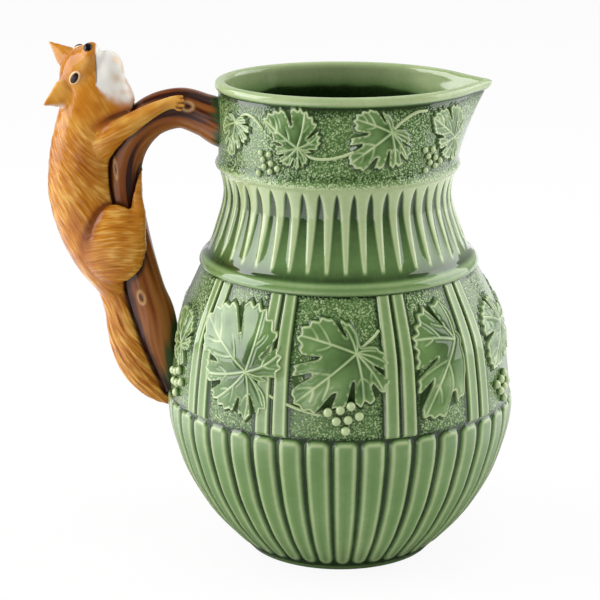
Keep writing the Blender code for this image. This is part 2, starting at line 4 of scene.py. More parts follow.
import bmesh
import bpy
from mathutils import Matrix, Vector, bvhtree, kdtree, noise


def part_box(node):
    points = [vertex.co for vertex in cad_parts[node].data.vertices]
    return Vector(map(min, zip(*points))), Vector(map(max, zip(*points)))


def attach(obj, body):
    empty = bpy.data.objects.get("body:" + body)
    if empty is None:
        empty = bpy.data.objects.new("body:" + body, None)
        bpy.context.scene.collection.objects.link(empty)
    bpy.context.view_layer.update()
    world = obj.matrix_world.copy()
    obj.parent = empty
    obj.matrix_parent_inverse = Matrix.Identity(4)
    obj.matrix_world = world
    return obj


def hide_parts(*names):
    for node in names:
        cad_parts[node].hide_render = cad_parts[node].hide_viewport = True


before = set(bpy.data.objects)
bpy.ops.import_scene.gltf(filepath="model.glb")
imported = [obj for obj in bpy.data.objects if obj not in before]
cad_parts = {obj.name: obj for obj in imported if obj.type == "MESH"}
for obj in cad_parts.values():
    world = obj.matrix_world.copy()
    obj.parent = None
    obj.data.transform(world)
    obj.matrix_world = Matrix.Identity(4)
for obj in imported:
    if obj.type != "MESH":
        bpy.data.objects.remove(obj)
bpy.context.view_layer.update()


# Jug body: the hollow body of white earthenware, slip cast in one mould with its flutes, straps, belt,
# ribs, bead and rolled rim. One dip of green glaze runs thin and pale over every edge and pools dark in
# every hollow, and some painted shade and a painted reflection on the inside are added to its colour.
# Sizes are in millimetres and angles in degrees, and a finished piece is scaled to metres.
MM = 0.001
POOL_GREEN = (0.012, 0.030, 0.006, 1)
GLAZE_GREEN = (0.150, 0.265, 0.085, 1)
THIN_GREEN = (0.520, 0.620, 0.330, 1)
BEAD_HEIGHT = 188
RIM_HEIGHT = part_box("jug_body")[1].z / MM
NECK_LEAN = -1.5
LEAN_BOTTOM, LEAN_TOP = 107.8, 176
NECK_RADIUS, RIM_SIDE = 56, 48
RIM_FRONT, RIM_BACK = 60, 57.4
LIP_REACH, LIP_FLARE = 9.6, 1.6
LIP_SPREAD, LIP_ROUNDING = 7.5, 2
SEAM = 0.001


def ease(share):
    share = min(max(share, 0), 1)
    return share * share * (3 - 2 * share)


def smooth_curve(*points):
    """A function that runs smoothly through the points, never swings past them and is level outside."""
    places, values = zip(*points)
    chords = [(b[1] - a[1]) / (b[0] - a[0]) for a, b in zip(points, points[1:])]
    bends = [2 * p * q / (p + q) if p * q > 0 else 0 for p, q in zip(chords, chords[1:])]
    slopes = [chords[0], *bends, chords[-1]]

    def curve(place):
        place = min(max(place, places[0]), places[-1])
        index = min(bisect.bisect_right(places, place), len(chords)) - 1
        span = places[index + 1] - places[index]
        t = (place - places[index]) / span
        pull = span * t * (1 - t) * ((1 - t) * slopes[index] - t * slopes[index + 1])
        return values[index] + (values[index + 1] - values[index]) * ease(t) + pull
    return curve


body_radius = smooth_curve((0, 44.6), (24, 65.6), (48, 77.7), (72, 82.8), (107.8, 79.4), (143.6, 64.9),
                           (158.25, 58), (176, 53.7), (BEAD_HEIGHT, NECK_RADIUS))


def wall_radius(height, degrees):
    """Distance of the outer wall from the jug's axis, without relief."""
    angle = math.radians(degrees)
    lean = NECK_LEAN * math.cos(angle)
    if height <= BEAD_HEIGHT:
        return body_radius(height) + lean * ease((height - LEAN_BOTTOM) / (LEAN_TOP - LEAN_BOTTOM))
    share = (height - BEAD_HEIGHT) / (RIM_HEIGHT - BEAD_HEIGHT)
    to_lip = math.cos(angle) > 0
    neck_reach = NECK_RADIUS + (NECK_LEAN if to_lip else -NECK_LEAN)
    reach = neck_reach + ((RIM_FRONT if to_lip else RIM_BACK) - neck_reach) * share
    side = NECK_RADIUS + (RIM_SIDE - NECK_RADIUS) * ease(share)
    oval = reach * side / math.hypot(side * math.cos(angle), reach * math.sin(angle))
    turn = math.remainder(degrees, 360)
    away = math.hypot(turn, LIP_ROUNDING) - LIP_ROUNDING
    return oval + LIP_REACH * share ** LIP_FLARE * math.exp(-away / LIP_SPREAD)


def on_wall(degrees, height, rise):
    radius = wall_radius(height, degrees) + rise
    angle = math.radians(degrees)
    return Vector((radius * math.cos(angle), radius * math.sin(angle), height))


def wrap_zone(bm, outline, columns, place):
    """Wrap a grid round the axis along a stretch of the outline, and put each point where the zone's own
    relief says: angle, rise, thinness of the glaze and stipple. Returns the edges of its two ends."""
    thin, stipple = bm.verts.layers.float["thin"], bm.verts.layers.float["stipple"]
    rows = len(outline) - 1
    zone = bmesh.ops.create_grid(bm, x_segments=columns, y_segments=rows, size=1)["verts"]
    for vert in zone:
        column, row = round((vert.co.x + 1) / 2 * columns), round((vert.co.y + 1) / 2 * rows)
        height, stand = outline[row]
        degrees, rise, vert[thin], vert[stipple] = place(column % columns, height, stand)
        vert.co = on_wall(degrees, height, stand + rise)
    bmesh.ops.remove_doubles(bm, verts=zone, dist=SEAM)
    rims = {edge for vert in zone if vert.is_valid for edge in vert.link_edges if edge.is_boundary}
    return [[edge for edge in rims if abs(edge.verts[0].co.z - outline[end][0]) < SEAM] for end in (0, -1)]


FLUTES = 40
FLUTE_PITCH = 360 / FLUTES
FLUTE_PHASE = -88
FLUTE_BOTTOM, FLUTE_TOP = 5, 77
PAD_HALF, PAD_CORNER, PAD_ROUNDEST = 3.6, 3.2, 0.95
FOOT_BAND, FOOT_THIN = 2, 0.5
FLUTE_COLUMNS = (0, 0.07, 0.11, 0.15, 0.21, 0.32, 0.5, 0.68, 0.79, 0.85, 0.89, 0.93)
flute_ground = smooth_curve((0, -0.6), (3.6, -0.6), (6.5, -2), (74, -2), (77.6, -1.2))
pad_section = smooth_curve((-6, 0.98), (-3.4, 1), (-1.9, 0.98), (-1.2, 0.92), (-0.5, 0.72), (0, 0.5),
                           (0.5, 0.2), (0.95, 0))
pad_thin = smooth_curve((-6, 0.44), (-3.4, 0.47), (-2.2, 0.6), (-1.3, 0.8), (-0.6, 0.66), (0, 0.34),
                        (0.5, 0.08), (1, 0))


def flute_place(column, height, stand):
    """Flat pads with rounded ends and raised edges, between narrow grooves."""
    flute, spot = divmod(column, len(FLUTE_COLUMNS))
    off = (FLUTE_COLUMNS[spot] - 0.5) * FLUTE_PITCH
    arc = math.radians(1) * body_radius(height)
    corner = min(PAD_CORNER, PAD_HALF * arc * PAD_ROUNDEST)
    across = abs(off) * arc - PAD_HALF * arc + corner
    along = abs(height - (FLUTE_TOP + FLUTE_BOTTOM) / 2) - (FLUTE_TOP - FLUTE_BOTTOM) / 2 + corner
    outside = math.hypot(max(across, 0), max(along, 0)) + min(max(across, along), 0) - corner
    ground = flute_ground(height)
    foot = 1 - ease((height - FOOT_BAND) / FOOT_BAND)
    thin = max(pad_thin(outside), FOOT_THIN * foot)
    return FLUTE_PHASE + flute * FLUTE_PITCH + off, ground * (1 - pad_section(outside)), thin, 0


STRAP_PAIRS = (38, 70, 112.5, 144)
STRAP_SPACING = 6
STRAPS = [side * pair + half * STRAP_SPACING / 2
          for side in (-1, 1) for pair in STRAP_PAIRS for half in (-1, 1)]
STRAP_COLUMNS = (0, 1, 1.5, 1.8, 2.05, 2.2, 2.4, 2.6, 2.75, 3)
GROUND = -1.2
GROUND_STEP = 1.1
GROUND_START, GROUND_BLEND = 2.8, 0.6
BELT_BOTTOM = 141
STRAP_START, STRAP_RISE, STRAP_END = 1.2, 1, 0.5
SHADE_START, SHADE_BELOW, SHADE_ABOVE = 0.5, 3, 2.5
strap_section = smooth_curve((0, -0.12), (1.3, -0.06), (1.75, 0.08), (2.1, -0.15), (2.4, -0.8),
                             (2.75, GROUND))
strap_thin = smooth_curve((0, 0.55), (1.2, 0.6), (1.75, 1), (2.1, 0.7), (2.4, 0.25), (2.75, 0.02),
                          (3.3, 0.1), (4.6, 0.4))
panel_angles = sorted({round(strap + side * off, 3) for strap in STRAPS for off in STRAP_COLUMNS
                       for side in (-1, 1)})
for start, end in zip(panel_angles[:], panel_angles[1:] + [panel_angles[0] + 360]):
    parts = math.ceil((end - start) / GROUND_STEP)
    panel_angles += [start + (end - start) * part / parts for part in range(1, parts)]
panel_angles.sort()


def panel_place(column, height, stand):
    """Stippled ground between pairs of flat straps, which run from the flutes up to the belt."""
    degrees = panel_angles[column]
    off = min(abs(math.remainder(degrees - strap, 360)) for strap in STRAPS)
    from_flutes, to_belt = height - FLUTE_TOP, BELT_BOTTOM - height
    stands = ease((from_flutes - STRAP_START) / STRAP_RISE) * ease(to_belt / STRAP_END)
    # The ground is painted darker along the flute tops and under the belt, as shade
    clear = ease((from_flutes - SHADE_START) / SHADE_BELOW) * ease(to_belt / SHADE_ABOVE)
    on_ground = ease((off - GROUND_START) / GROUND_BLEND)
    thin = strap_thin(off) * (1 - on_ground * (1 - clear))
    return degrees, GROUND + (strap_section(off) - GROUND) * stands, thin, on_ground


RIBS = 44
RIB_PITCH = 360 / RIBS
RIB_PHASE = -104
RIB_SIDE, RIB_DEPTH, RIB_EDGE = 1.1, 0.75, 0.15
RIB_TIP, RIB_TIP_FADE = 148.5, 9
RIB_COLUMNS = 12
CROWN_SHARES, FLANK_SHARES = (0, 0.5, 0.88), (0.15, 0.55, 1)
RIB_THIN, RIB_SHOWN = 0.84, 2.5
BELT_TOP, BELT_BLEND = 146.2, 1.6
RIBS_BOTTOM, RIBS_TOP = 149, 185
BEAD_STIPPLE, BEAD_STIPPLE_BLEND = 186.5, 2.5
rib_half = smooth_curve((149, 0.12), (152, 0.35), (158, 0.75), (166.5, 1.2), (175, 1.7), (179, 2.05),
                        (182.5, 2.6), (184.6, 3.3), (185.8, RIB_PITCH / 2))
belt_thin = smooth_curve((140.6, 0.2), (141.4, 0.55), (142.2, 0.62), (143.6, 0.45), (144.8, 0.62),
                         (145.4, 0.6), (146.2, 0.2), (147, 0.1), (149, 0.2))
valley_thin = smooth_curve((149, 0.2), (154, 0.32), (163, 0.24), (174, 0.1), (182, 0.02))
bead_thin = smooth_curve((185, 0.85), (187, 0.86), (188.5, 0.8), (190, 0.5), (192, 0.25))


def rib_place(column, height, stand):
    """Ribs like icicles, which hang from the bead and run down to points above the belt."""
    rib, spot = divmod(column, RIB_COLUMNS)
    half = rib_half(height)
    side = min(RIB_SIDE, RIB_PITCH / 2 - half)
    offs = [half * share for share in CROWN_SHARES] + [half + side * share for share in FLANK_SHARES]
    off = [*offs, RIB_PITCH / 2][min(spot, RIB_COLUMNS - spot)]
    edge = min(off / half, 1)
    valley = ease((off - half) / RIB_SIDE)
    lift = ease((height - RIB_TIP) / RIB_TIP_FADE)
    rise = -RIB_DEPTH + (RIB_DEPTH - RIB_EDGE * edge ** 4 - (RIB_DEPTH - RIB_EDGE) * valley) * lift
    rise *= ease((height - BELT_TOP) / BELT_BLEND)
    if height < RIBS_BOTTOM:
        thin = belt_thin(height)
    elif height > RIBS_TOP:
        thin = bead_thin(height)
    else:
        crown = RIB_THIN + (1 - RIB_THIN) * edge ** 3
        shown = ease((height - RIB_TIP) / RIB_SHOWN)
        thin = valley_thin(height) + (crown - valley_thin(height)) * (1 - valley) * shown
    turn = off if spot <= RIB_COLUMNS / 2 else RIB_PITCH - off
    stipple = ease((height - BEAD_STIPPLE) / BEAD_STIPPLE_BLEND)
    return RIB_PHASE + rib * RIB_PITCH + turn, rise, thin, stipple


NECK_COLUMNS, INSIDE_COLUMNS, FLOOR_COLUMNS = 480, 240, 60
RIM_INNER, RIM_INNER_THIN = -2, 0.75
NECK_STIPPLE_TOP, NECK_STIPPLE_BLEND = 220, 2
# Dark in the crease under the rim and darker on the rim's lower side: pooled glaze with painted shade
neck_thin = smooth_curve((192, 0.25), (196, 0.4), (217, 0.4), (221.5, 0.15), (223, 0.05), (223.8, 0.5),
                         (225, 0.84), (227, 0.78))


def neck_place(column, height, stand):
    """Plain neck, stippled from the bead up to the rolled rim, and the rim's inner edge."""
    outer = stand > RIM_INNER
    thin = neck_thin(height) if outer else RIM_INNER_THIN
    stipple = 1 - ease((height - NECK_STIPPLE_TOP) / NECK_STIPPLE_BLEND)
    return column * 360 / NECK_COLUMNS, 0, thin, stipple if outer else 0


EDGE_UNEVEN, EDGE_SCALE, LIP_EDGE_DROP = 1.6, 4, 3.5
FLOOR_THIN = 0.35
inside_reflection = smooth_curve((150, 0), (212, 0), (216, 0.05), (217.6, 0.5), (221.5, 0.68), (226, 0.78))


def inside_place(column, height, stand):
    """The upper inside painted pale as a reflection, with an uneven lower edge that comes lower towards the
    lip, and dark glaze below it.
    """
    degrees = column * 360 / INSIDE_COLUMNS
    angle = math.radians(degrees)
    round_it = Vector((math.cos(angle), math.sin(angle), 0))
    # The painted reflection's lower edge, uneven and lower towards the lip
    run = EDGE_UNEVEN * noise.noise(round_it * EDGE_SCALE) + LIP_EDGE_DROP * max(math.cos(angle), 0) ** 2
    return degrees, 0, inside_reflection(height + run), 0


def floor_place(column, height, stand):
    return column * 360 / FLOOR_COLUMNS, 0, FLOOR_THIN, 0


def steps(start, end, count):
    return [start + (end - start) * step / count for step in range(count + 1)]


def plain(*heights):
    """Rows of an outline that follow the wall itself."""
    return [(height, 0) for height in heights]


INSIDE_TOP = 225
RIM_WALL, WALL_GAIN, WALL_RUN = 3.7, 1.3, 12
UNDERSIDE = 1.4


def jug_mesh():
    """The outer wall in zones from the foot up, over the rim and down the inside, all bridged. Rows are
    heights, with how far they stand out from the wall or, under the foot and on the floor, a radius."""
    flutes = [(0, -1.2), (0.2, -0.5), *plain(0.6, 2, 3, 3.6, 4.2, 4.6, 5, 5.4, 5.9, 6.5, 7.2, 8.2, 9.5)]
    flutes += plain(*steps(12, 70, 16), 71.6, 73, 74, 74.7, 75.3, 75.8, 76.3, 76.8, 77.3, 77.8)
    panels = plain(78.2, 78.5, 78.8, 79.1, 79.5, 80.3, 81.5, *steps(83, 137, 14), 138.5, 139.4, 140, 140.3)
    belt = [(140.6, GROUND), (140.9, -0.5), (141.2, 0.1), (141.8, 0.55), (142.6, 0.85), (143.6, 0.95),
            (144.6, 0.85), (145.4, 0.55), (146, 0.05), (146.4, -0.1), *plain(146.8, 147.4, 148)]
    ribs = plain(148.8, 149.5, 150.2, 151, 152, 153.5, *steps(156, 180, 9), 181.5, 182.5, 183.3, 184, 184.6,
                 185.2, 185.8)
    bead = [(186.4, 0.25), (187, 0.75), (187.7, 1.3), (188.5, 1.6), (189.3, 1.5), (190.1, 1), (191, 0.45),
            (192, 0.1)]
    neck = plain(*steps(193, 222.4, 12))
    rim = [(222.8, -0.25), (223.1, -0.1), (223.4, 0.5), (223.9, 1.05), (224.6, 1.45), (225.6, 1.55),
           (226.5, 1.4), (227.1, 1), (227.55, 0.2), (RIM_HEIGHT, -0.8), (227.7, -1.8), (227.4, -2.7),
           (226.8, -3.3), (226, -3.6)]
    inside = [(height, -RIM_WALL - WALL_GAIN * ease((INSIDE_TOP - height) / WALL_RUN))
              for height in (*steps(INSIDE_TOP, 204, 20), *steps(198, 30, 24))]
    inside += [(22, -5), (15, -5.4), (11, -7), (9, -9.5), (8, -13)]
    floor = [(height, radius - body_radius(height)) for height, radius in ((7.6, 30), (7.2, 14), (7, 0))]
    foot = ((UNDERSIDE, 25), (1.2, 36), (0.7, 38), (0.1, 39), (0, 40), (0, 42.5))
    underside = [(UNDERSIDE, -body_radius(UNDERSIDE))]
    underside += [(height, radius - body_radius(0)) for height, radius in foot]
    bm = bmesh.new()
    bm.verts.layers.float.new("thin")
    bm.verts.layers.float.new("stipple")
    zones = ((underside, FLOOR_COLUMNS, floor_place), (flutes, FLUTES * len(FLUTE_COLUMNS), flute_place),
             (panels, len(panel_angles), panel_place), (belt + ribs + bead, RIBS * RIB_COLUMNS, rib_place),
             (neck + rim, NECK_COLUMNS, neck_place), (inside, INSIDE_COLUMNS, inside_place),
             (floor, FLOOR_COLUMNS, floor_place))
    rims = [wrap_zone(bm, *zone) for zone in zones]
    for (_, top), (bottom, _) in zip(rims, rims[1:]):
        bmesh.ops.bridge_loops(bm, edges=top + bottom)
    return bm


def add_piece(name, bm, material, slot, *nodes):
    """Close and orient a mesh made in millimetres, and put the piece in the frame in place of its nodes."""
    bmesh.ops.remove_doubles(bm, verts=bm.verts, dist=SEAM)
    bmesh.ops.recalc_face_normals(bm, faces=bm.faces)
    bmesh.ops.scale(bm, vec=(MM, MM, MM), verts=bm.verts)
    mesh = bpy.data.meshes.new(name)
    bm.to_mesh(mesh)
    bm.free()
    mesh.materials.append(material)
    mesh.shade_smooth()
    piece = bpy.data.objects.new(name, mesh)
    bpy.context.collection.objects.link(piece)
    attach(piece, "root")
    if nodes:
        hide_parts(*nodes)
    return piece


def new_group(name, inputs, outputs):
    group = bpy.data.node_groups.new(name, "ShaderNodeTree")
    for in_out, sockets in (("INPUT", inputs), ("OUTPUT", outputs)):
        for socket, kind in sockets:
            group.interface.new_socket(socket, in_out=in_out, socket_type="NodeSocket" + kind)
    return group, group.nodes.new("NodeGroupInput").outputs, group.nodes.new("NodeGroupOutput").inputs


def add_node(tree, kind, inputs=None, **settings):
    """A shader node with its settings, and with its inputs set to values or linked to outputs."""
    node = tree.nodes.new("ShaderNode" + kind)
    for key, value in settings.items():
        setattr(node, key, value)
    for key, value in (inputs or {}).items():
        if isinstance(value, bpy.types.NodeSocket):
            tree.links.new(value, node.inputs[key])
        else:
            node.inputs[key].default_value = value
    return node


def math_node(tree, operation, *values):
    return add_node(tree, "Math", dict(enumerate(values)), operation=operation).outputs[0]


# Sockets of the mix node that are colours, which share their names with those that are numbers
MIX_FIRST, MIX_SECOND, MIX_RESULT = 6, 7, 2


def mix_colours(tree, factor, first, second):
    inputs = {"Factor": factor, MIX_FIRST: first, MIX_SECOND: second}
    return add_node(tree, "Mix", inputs, data_type="RGBA").outputs[MIX_RESULT]


def spread(tree, value, low, high):
    """How far a value has come from low to high, eased at both ends."""
    return add_node(tree, "MapRange", {"Value": value, "From Min": low, "From Max": high},
                    interpolation_type="SMOOTHSTEP").outputs[0]


DRIFT_SCALE, SPECK_SCALE, DOT_SCALE = 45, 420, 1200
DRIFT_AMOUNT, SPECK_AMOUNT = 0.22, 0.1
DOT_SPAN, DOT_AMOUNT, DOT_LEVEL = (0.6, 0.1), 0.74, -0.18
PATCH_SPAN, PATCH_AMOUNT = (0.35, 0.62), 0.4
POOL_SPAN, THIN_SPAN = (-0.05, 0.5), (0.42, 1)
SWELL_AMOUNT = 0.3


def uneven(tree, level, rough, amount):
    """A level that a noise lifts and lowers by up to half the amount."""
    return math_node(tree, "ADD", level, math_node(tree, "MULTIPLY_ADD", rough, amount, -amount / 2))


def pooled_glaze_group():
    """Coloured glaze that is darkest where it pools and palest where it runs thin, with a stippled ground."""
    group, inputs, outputs = new_group(
        "pooled_glaze", (("Thin", "Float"), ("Stipple", "Float"), ("Pool", "Color"), ("Glaze", "Color"),
                         ("Thin Glaze", "Color")), (("Color", "Color"), ("Height", "Float")))
    place = add_node(group, "TexCoord").outputs["Object"]
    drift = add_node(group, "TexNoise", {"Vector": place, "Scale": DRIFT_SCALE, "Detail": 3}).outputs["Fac"]
    speck = add_node(group, "TexNoise", {"Vector": place, "Scale": SPECK_SCALE, "Detail": 2}).outputs["Fac"]
    cells = add_node(group, "TexVoronoi", {"Vector": place, "Scale": DOT_SCALE}, feature="SMOOTH_F1")
    patchy = spread(group, speck, *PATCH_SPAN)
    patchy = math_node(group, "MULTIPLY_ADD", patchy, PATCH_AMOUNT, 1 - PATCH_AMOUNT)
    dots = math_node(group, "MULTIPLY", spread(group, cells.outputs["Distance"], *DOT_SPAN), patchy)
    level = uneven(group, inputs["Thin"], drift, DRIFT_AMOUNT)
    level = uneven(group, level, speck, SPECK_AMOUNT)
    dotted = math_node(group, "MULTIPLY_ADD", dots, DOT_AMOUNT, DOT_LEVEL)
    level = math_node(group, "MULTIPLY_ADD", inputs["Stipple"], dotted, level)
    colour = mix_colours(group, spread(group, level, *POOL_SPAN), inputs["Pool"], inputs["Glaze"])
    colour = mix_colours(group, spread(group, level, *THIN_SPAN), colour, inputs["Thin Glaze"])
    group.links.new(colour, outputs["Color"])
    raised = math_node(group, "MULTIPLY", inputs["Stipple"], dots)
    swell = math_node(group, "MULTIPLY_ADD", drift, SWELL_AMOUNT, raised)
    group.links.new(swell, outputs["Height"])
    return group


def attribute(tree, name):
    return add_node(tree, "Attribute", attribute_name=name).outputs["Fac"]


def glaze_material(name, colours, index, roughness, relief, paints=(), combed=None):
    """A glossy glaze whose colour and fine relief come from the pooled glaze, with other colours painted on
    where the piece's attributes say, and with combed strokes that the glaze runs off."""
    material = bpy.data.materials.new(name)
    material.use_nodes = True
    tree = material.node_tree
    coat = add_node(tree, "Group", node_tree=pooled_glaze)
    for key, colour in zip(("Pool", "Glaze", "Thin Glaze"), colours):
        coat.inputs[key].default_value = colour
    level = attribute(tree, "thin")
    if combed:
        ways = {"Along": attribute(tree, "along"), "Across": attribute(tree, "across")}
        stroke = add_node(tree, "Group", ways, node_tree=combed).outputs["Stroke"]
        level = math_node(tree, "MULTIPLY_ADD", stroke, attribute(tree, "comb"), level)
    tree.links.new(level, coat.inputs["Thin"])
    tree.links.new(attribute(tree, "stipple"), coat.inputs["Stipple"])
    colour = coat.outputs["Color"]
    for key, paint in paints:
        colour = mix_colours(tree, attribute(tree, key), colour, paint)
    bump = add_node(tree, "Bump", {"Height": coat.outputs["Height"], "Distance": relief * MM})
    shader = tree.nodes["Principled BSDF"]
    shader.inputs["Roughness"].default_value = roughness
    shader.inputs["IOR"].default_value = index
    tree.links.new(colour, shader.inputs["Base Color"])
    tree.links.new(bump.outputs["Normal"], shader.inputs["Normal"])
    return material


GREENS = (POOL_GREEN, GLAZE_GREEN, THIN_GREEN)
LEAD_GLAZE_INDEX = 1.7
pooled_glaze = pooled_glaze_group()
body_glaze = glaze_material("body_glaze", GREENS, LEAD_GLAZE_INDEX, roughness=0.06, relief=0.18)
add_piece("glazed_jug_body", jug_mesh(), body_glaze, "body_glaze", "jug_body")


# Vine leaves: sprigs of clay pressed in three moulds, five on each side of the belly and four on each side
# of the neck, luted to the wall with slip and glazed with it. Their rims and veins stand up and stay pale,
# and the glaze pools dark in between and on the wall round them.
PANEL_BOTTOM, PANEL_HEIGHT = 77, 64
BAND_BOTTOM, BAND_HEIGHT = 190.4, 32.6
# Outlines of the three moulds, from the tip round to the stalk on the left and on the right: degrees from
# the tip and share of the leaf's length
OPEN_LEFT = smooth_curve(
    (0, 1), (3, 0.93), (6, 0.91), (9.5, 0.83), (13, 0.84), (16.5, 0.77), (20, 0.78), (25, 0.7), (30, 0.67),
    (34, 0.61), (39, 0.66), (44, 0.6), (49, 0.64), (55, 0.6), (63, 0.63), (68, 0.58), (73, 0.63), (78, 0.56),
    (83, 0.61), (88, 0.55), (93, 0.58), (99, 0.52), (105, 0.53), (113, 0.54), (118, 0.5), (124, 0.58),
    (129, 0.53), (137, 0.5), (144, 0.52), (150, 0.46), (157, 0.49), (164, 0.42), (170, 0.34), (176, 0.18),
    (180, 0.1))
OPEN_RIGHT = smooth_curve(
    (0, 1), (4, 0.92), (9, 0.97), (13, 0.88), (18, 0.91), (22.5, 0.82), (27, 0.85), (31.5, 0.76), (36, 0.8),
    (42, 0.76), (48, 0.79), (53, 0.72), (58, 0.78), (63, 0.7), (69, 0.73), (75, 0.64), (81, 0.67), (88, 0.58),
    (94, 0.6), (102, 0.52), (108, 0.54), (114, 0.47), (121, 0.51), (128, 0.44), (135, 0.47), (142, 0.4),
    (149, 0.4), (157, 0.32), (165, 0.27), (173, 0.2), (180, 0.1))
CURLED_LEFT = smooth_curve(
    (0, 1), (4, 0.95), (8, 0.97), (11.5, 0.9), (15, 0.91), (20, 0.82), (25, 0.77), (29, 0.71), (33, 0.73),
    (37, 0.67), (43, 0.66), (49, 0.62), (54, 0.67), (59, 0.59), (64, 0.65), (70, 0.62), (75.5, 0.6),
    (80, 0.56), (85, 0.6), (90, 0.54), (96, 0.55), (103, 0.48), (110, 0.43), (116, 0.39), (122, 0.42),
    (129, 0.35), (136, 0.37), (144, 0.29), (152, 0.27), (162, 0.19), (171, 0.13), (180, 0.1))
CURLED_RIGHT = smooth_curve(
    (0, 1), (3, 0.94), (6, 0.95), (9.5, 0.89), (15, 0.86), (20, 0.84), (24, 0.78), (28, 0.79), (33, 0.74),
    (38, 0.68), (43, 0.72), (47, 0.69), (52, 0.78), (57, 0.73), (62, 0.77), (67, 0.68), (72, 0.69), (77, 0.6),
    (82, 0.61), (87, 0.53), (92, 0.5), (98, 0.44), (105, 0.42), (111, 0.36), (117, 0.35), (124, 0.29),
    (132, 0.23), (145, 0.14), (160, 0.1), (180, 0.1))
FOLDED_LEFT = smooth_curve(
    (0, 1), (3, 0.92), (7.5, 0.95), (10.5, 0.88), (14, 0.91), (19, 0.8), (25, 0.76), (30, 0.68), (35, 0.67),
    (40, 0.48), (45, 0.4), (52, 0.28), (62, 0.18), (80, 0.11), (180, 0.1))
FOLDED_RIGHT = smooth_curve(
    (0, 1), (4, 0.9), (7, 0.89), (11, 0.79), (16, 0.77), (20, 0.69), (25, 0.68), (30, 0.62), (36, 0.62),
    (41, 0.56), (46, 0.57), (53, 0.53), (58, 0.57), (63, 0.54), (68, 0.58), (74, 0.51), (80, 0.55), (87, 0.5),
    (95, 0.55), (102, 0.5), (109, 0.54), (117, 0.47), (128, 0.43), (138, 0.45), (147, 0.38), (154, 0.34),
    (163, 0.24), (172, 0.15), (180, 0.1))
# Deep bays between the lobes: degrees to the left of the tip, and the share that is left of the reach there
OPEN_BAYS = ((25.5, 0.66), (59, 0.66), (109, 0.62), (137, 0.55), (-36, 0.58), (-103, 0.5), (-155, 0.68))
CURLED_BAYS = ((21, 0.68), (43, 0.52), (75.5, 0.72), (103.5, 0.55), (-14.5, 0.7), (-33, 0.62), (-97, 0.5))
FOLDED_BAYS = ((22, 0.76), (-9.5, 0.68), (-29, 0.52), (-114, 0.42))
BAY_HALF, BAY_SIDE = 2.2, 3.2
TOOTH_ROUND = 1.1
# Veins: degrees to the left of the tip, length, and side veins as where they leave, which side and how long
OPEN_VEINS = ((0, 0.95, ((0.28, 1, 0.3), (0.22, -1, 0.3), (0.55, 1, 0.27), (0.58, -1, 0.3),
                         (0.78, -1, 0.15))), (-66, 0.7, ((0.45, -1, 0.18),)),
              (-117, 0.46, ((0.5, 1, 0.14), (0.55, -1, 0.14))), (-147, 0.36, ()),
              (45, 0.58, ((0.5, 1, 0.16), (0.5, -1, 0.14))), (76, 0.58, ((0.45, 1, 0.2), (0.6, -1, 0.12))),
              (124, 0.54, ((0.5, -1, 0.18), (0.6, 1, 0.1))), (156, 0.44, ((0.55, 1, 0.12),)))
CURLED_VEINS = ((0, 0.95, ((0.42, -1, 0.42), (0.46, 1, 0.3), (0.72, 1, 0.16), (0.7, -1, 0.2))),
                (-55, 0.76, ((0.42, 1, 0.2), (0.45, -1, 0.36), (0.66, -1, 0.2))), (-106, 0.34, ()),
                (58, 0.6, ((0.5, -1, 0.14), (0.5, 1, 0.2))), (84, 0.57, ((0.5, -1, 0.14),)), (100, 0.46, ()),
                (121, 0.38, ()), (145, 0.24, ()), (-130, 0.2, ()))
FOLDED_VEINS = ((0, 0.95, ((0.3, 1, 0.36), (0.26, -1, 0.42), (0.58, -1, 0.2), (0.6, 1, 0.2))),
                (-66, 0.56, ((0.38, -1, 0.28), (0.55, 1, 0.14))), (-106, 0.5, ((0.4, 1, 0.14),)),
                (-140, 0.42, ()))
OPEN_MOULD = {"left": OPEN_LEFT, "right": OPEN_RIGHT, "veins": OPEN_VEINS, "bays": OPEN_BAYS}
CURLED_MOULD = {"left": CURLED_LEFT, "right": CURLED_RIGHT, "veins": CURLED_VEINS, "bays": CURLED_BAYS}
FOLDED_MOULD = {"left": FOLDED_LEFT, "right": FOLDED_RIGHT, "veins": FOLDED_VEINS, "bays": FOLDED_BAYS}
# Leaves: stalk and tip, each as an angle and a share of the band's height, how much of its reach the half
# left of the tip keeps, and the mould
BELLY_LEAVES = ((-158, 0.484, -169, 0.688, 1, OPEN_MOULD), (-122, 0.453, -145.5, 0.773, 1, OPEN_MOULD),
                (-84.5, 0.633, -105, 0.27, 1, CURLED_MOULD), (-47.5, 0.648, -62.5, 0.125, 1, FOLDED_MOULD),
                (-15, 0.625, -28, 0.328, 1, OPEN_MOULD))
NECK_LEAVES = ((-148.3, 0.687, -152, 0.202, 1, CURLED_MOULD), (-111, 0.463, -131.5, 0.822, 0.72, OPEN_MOULD),
               (-64.6, 0.663, -86, 0.27, 1, CURLED_MOULD), (-25, 0.463, -41, 0.81, 1, OPEN_MOULD))
BELLY_EDGE, BELLY_DOME = 1.5, 1.9
NECK_EDGE, NECK_DOME = 0.95, 1.3
LEAF_COLUMNS = 432
LEAF_SHARES = (*steps(0, 0.88, 40), 0.905, 0.93, 0.95, 0.97, 0.985, 0.995)
LEAF_SINK = -2
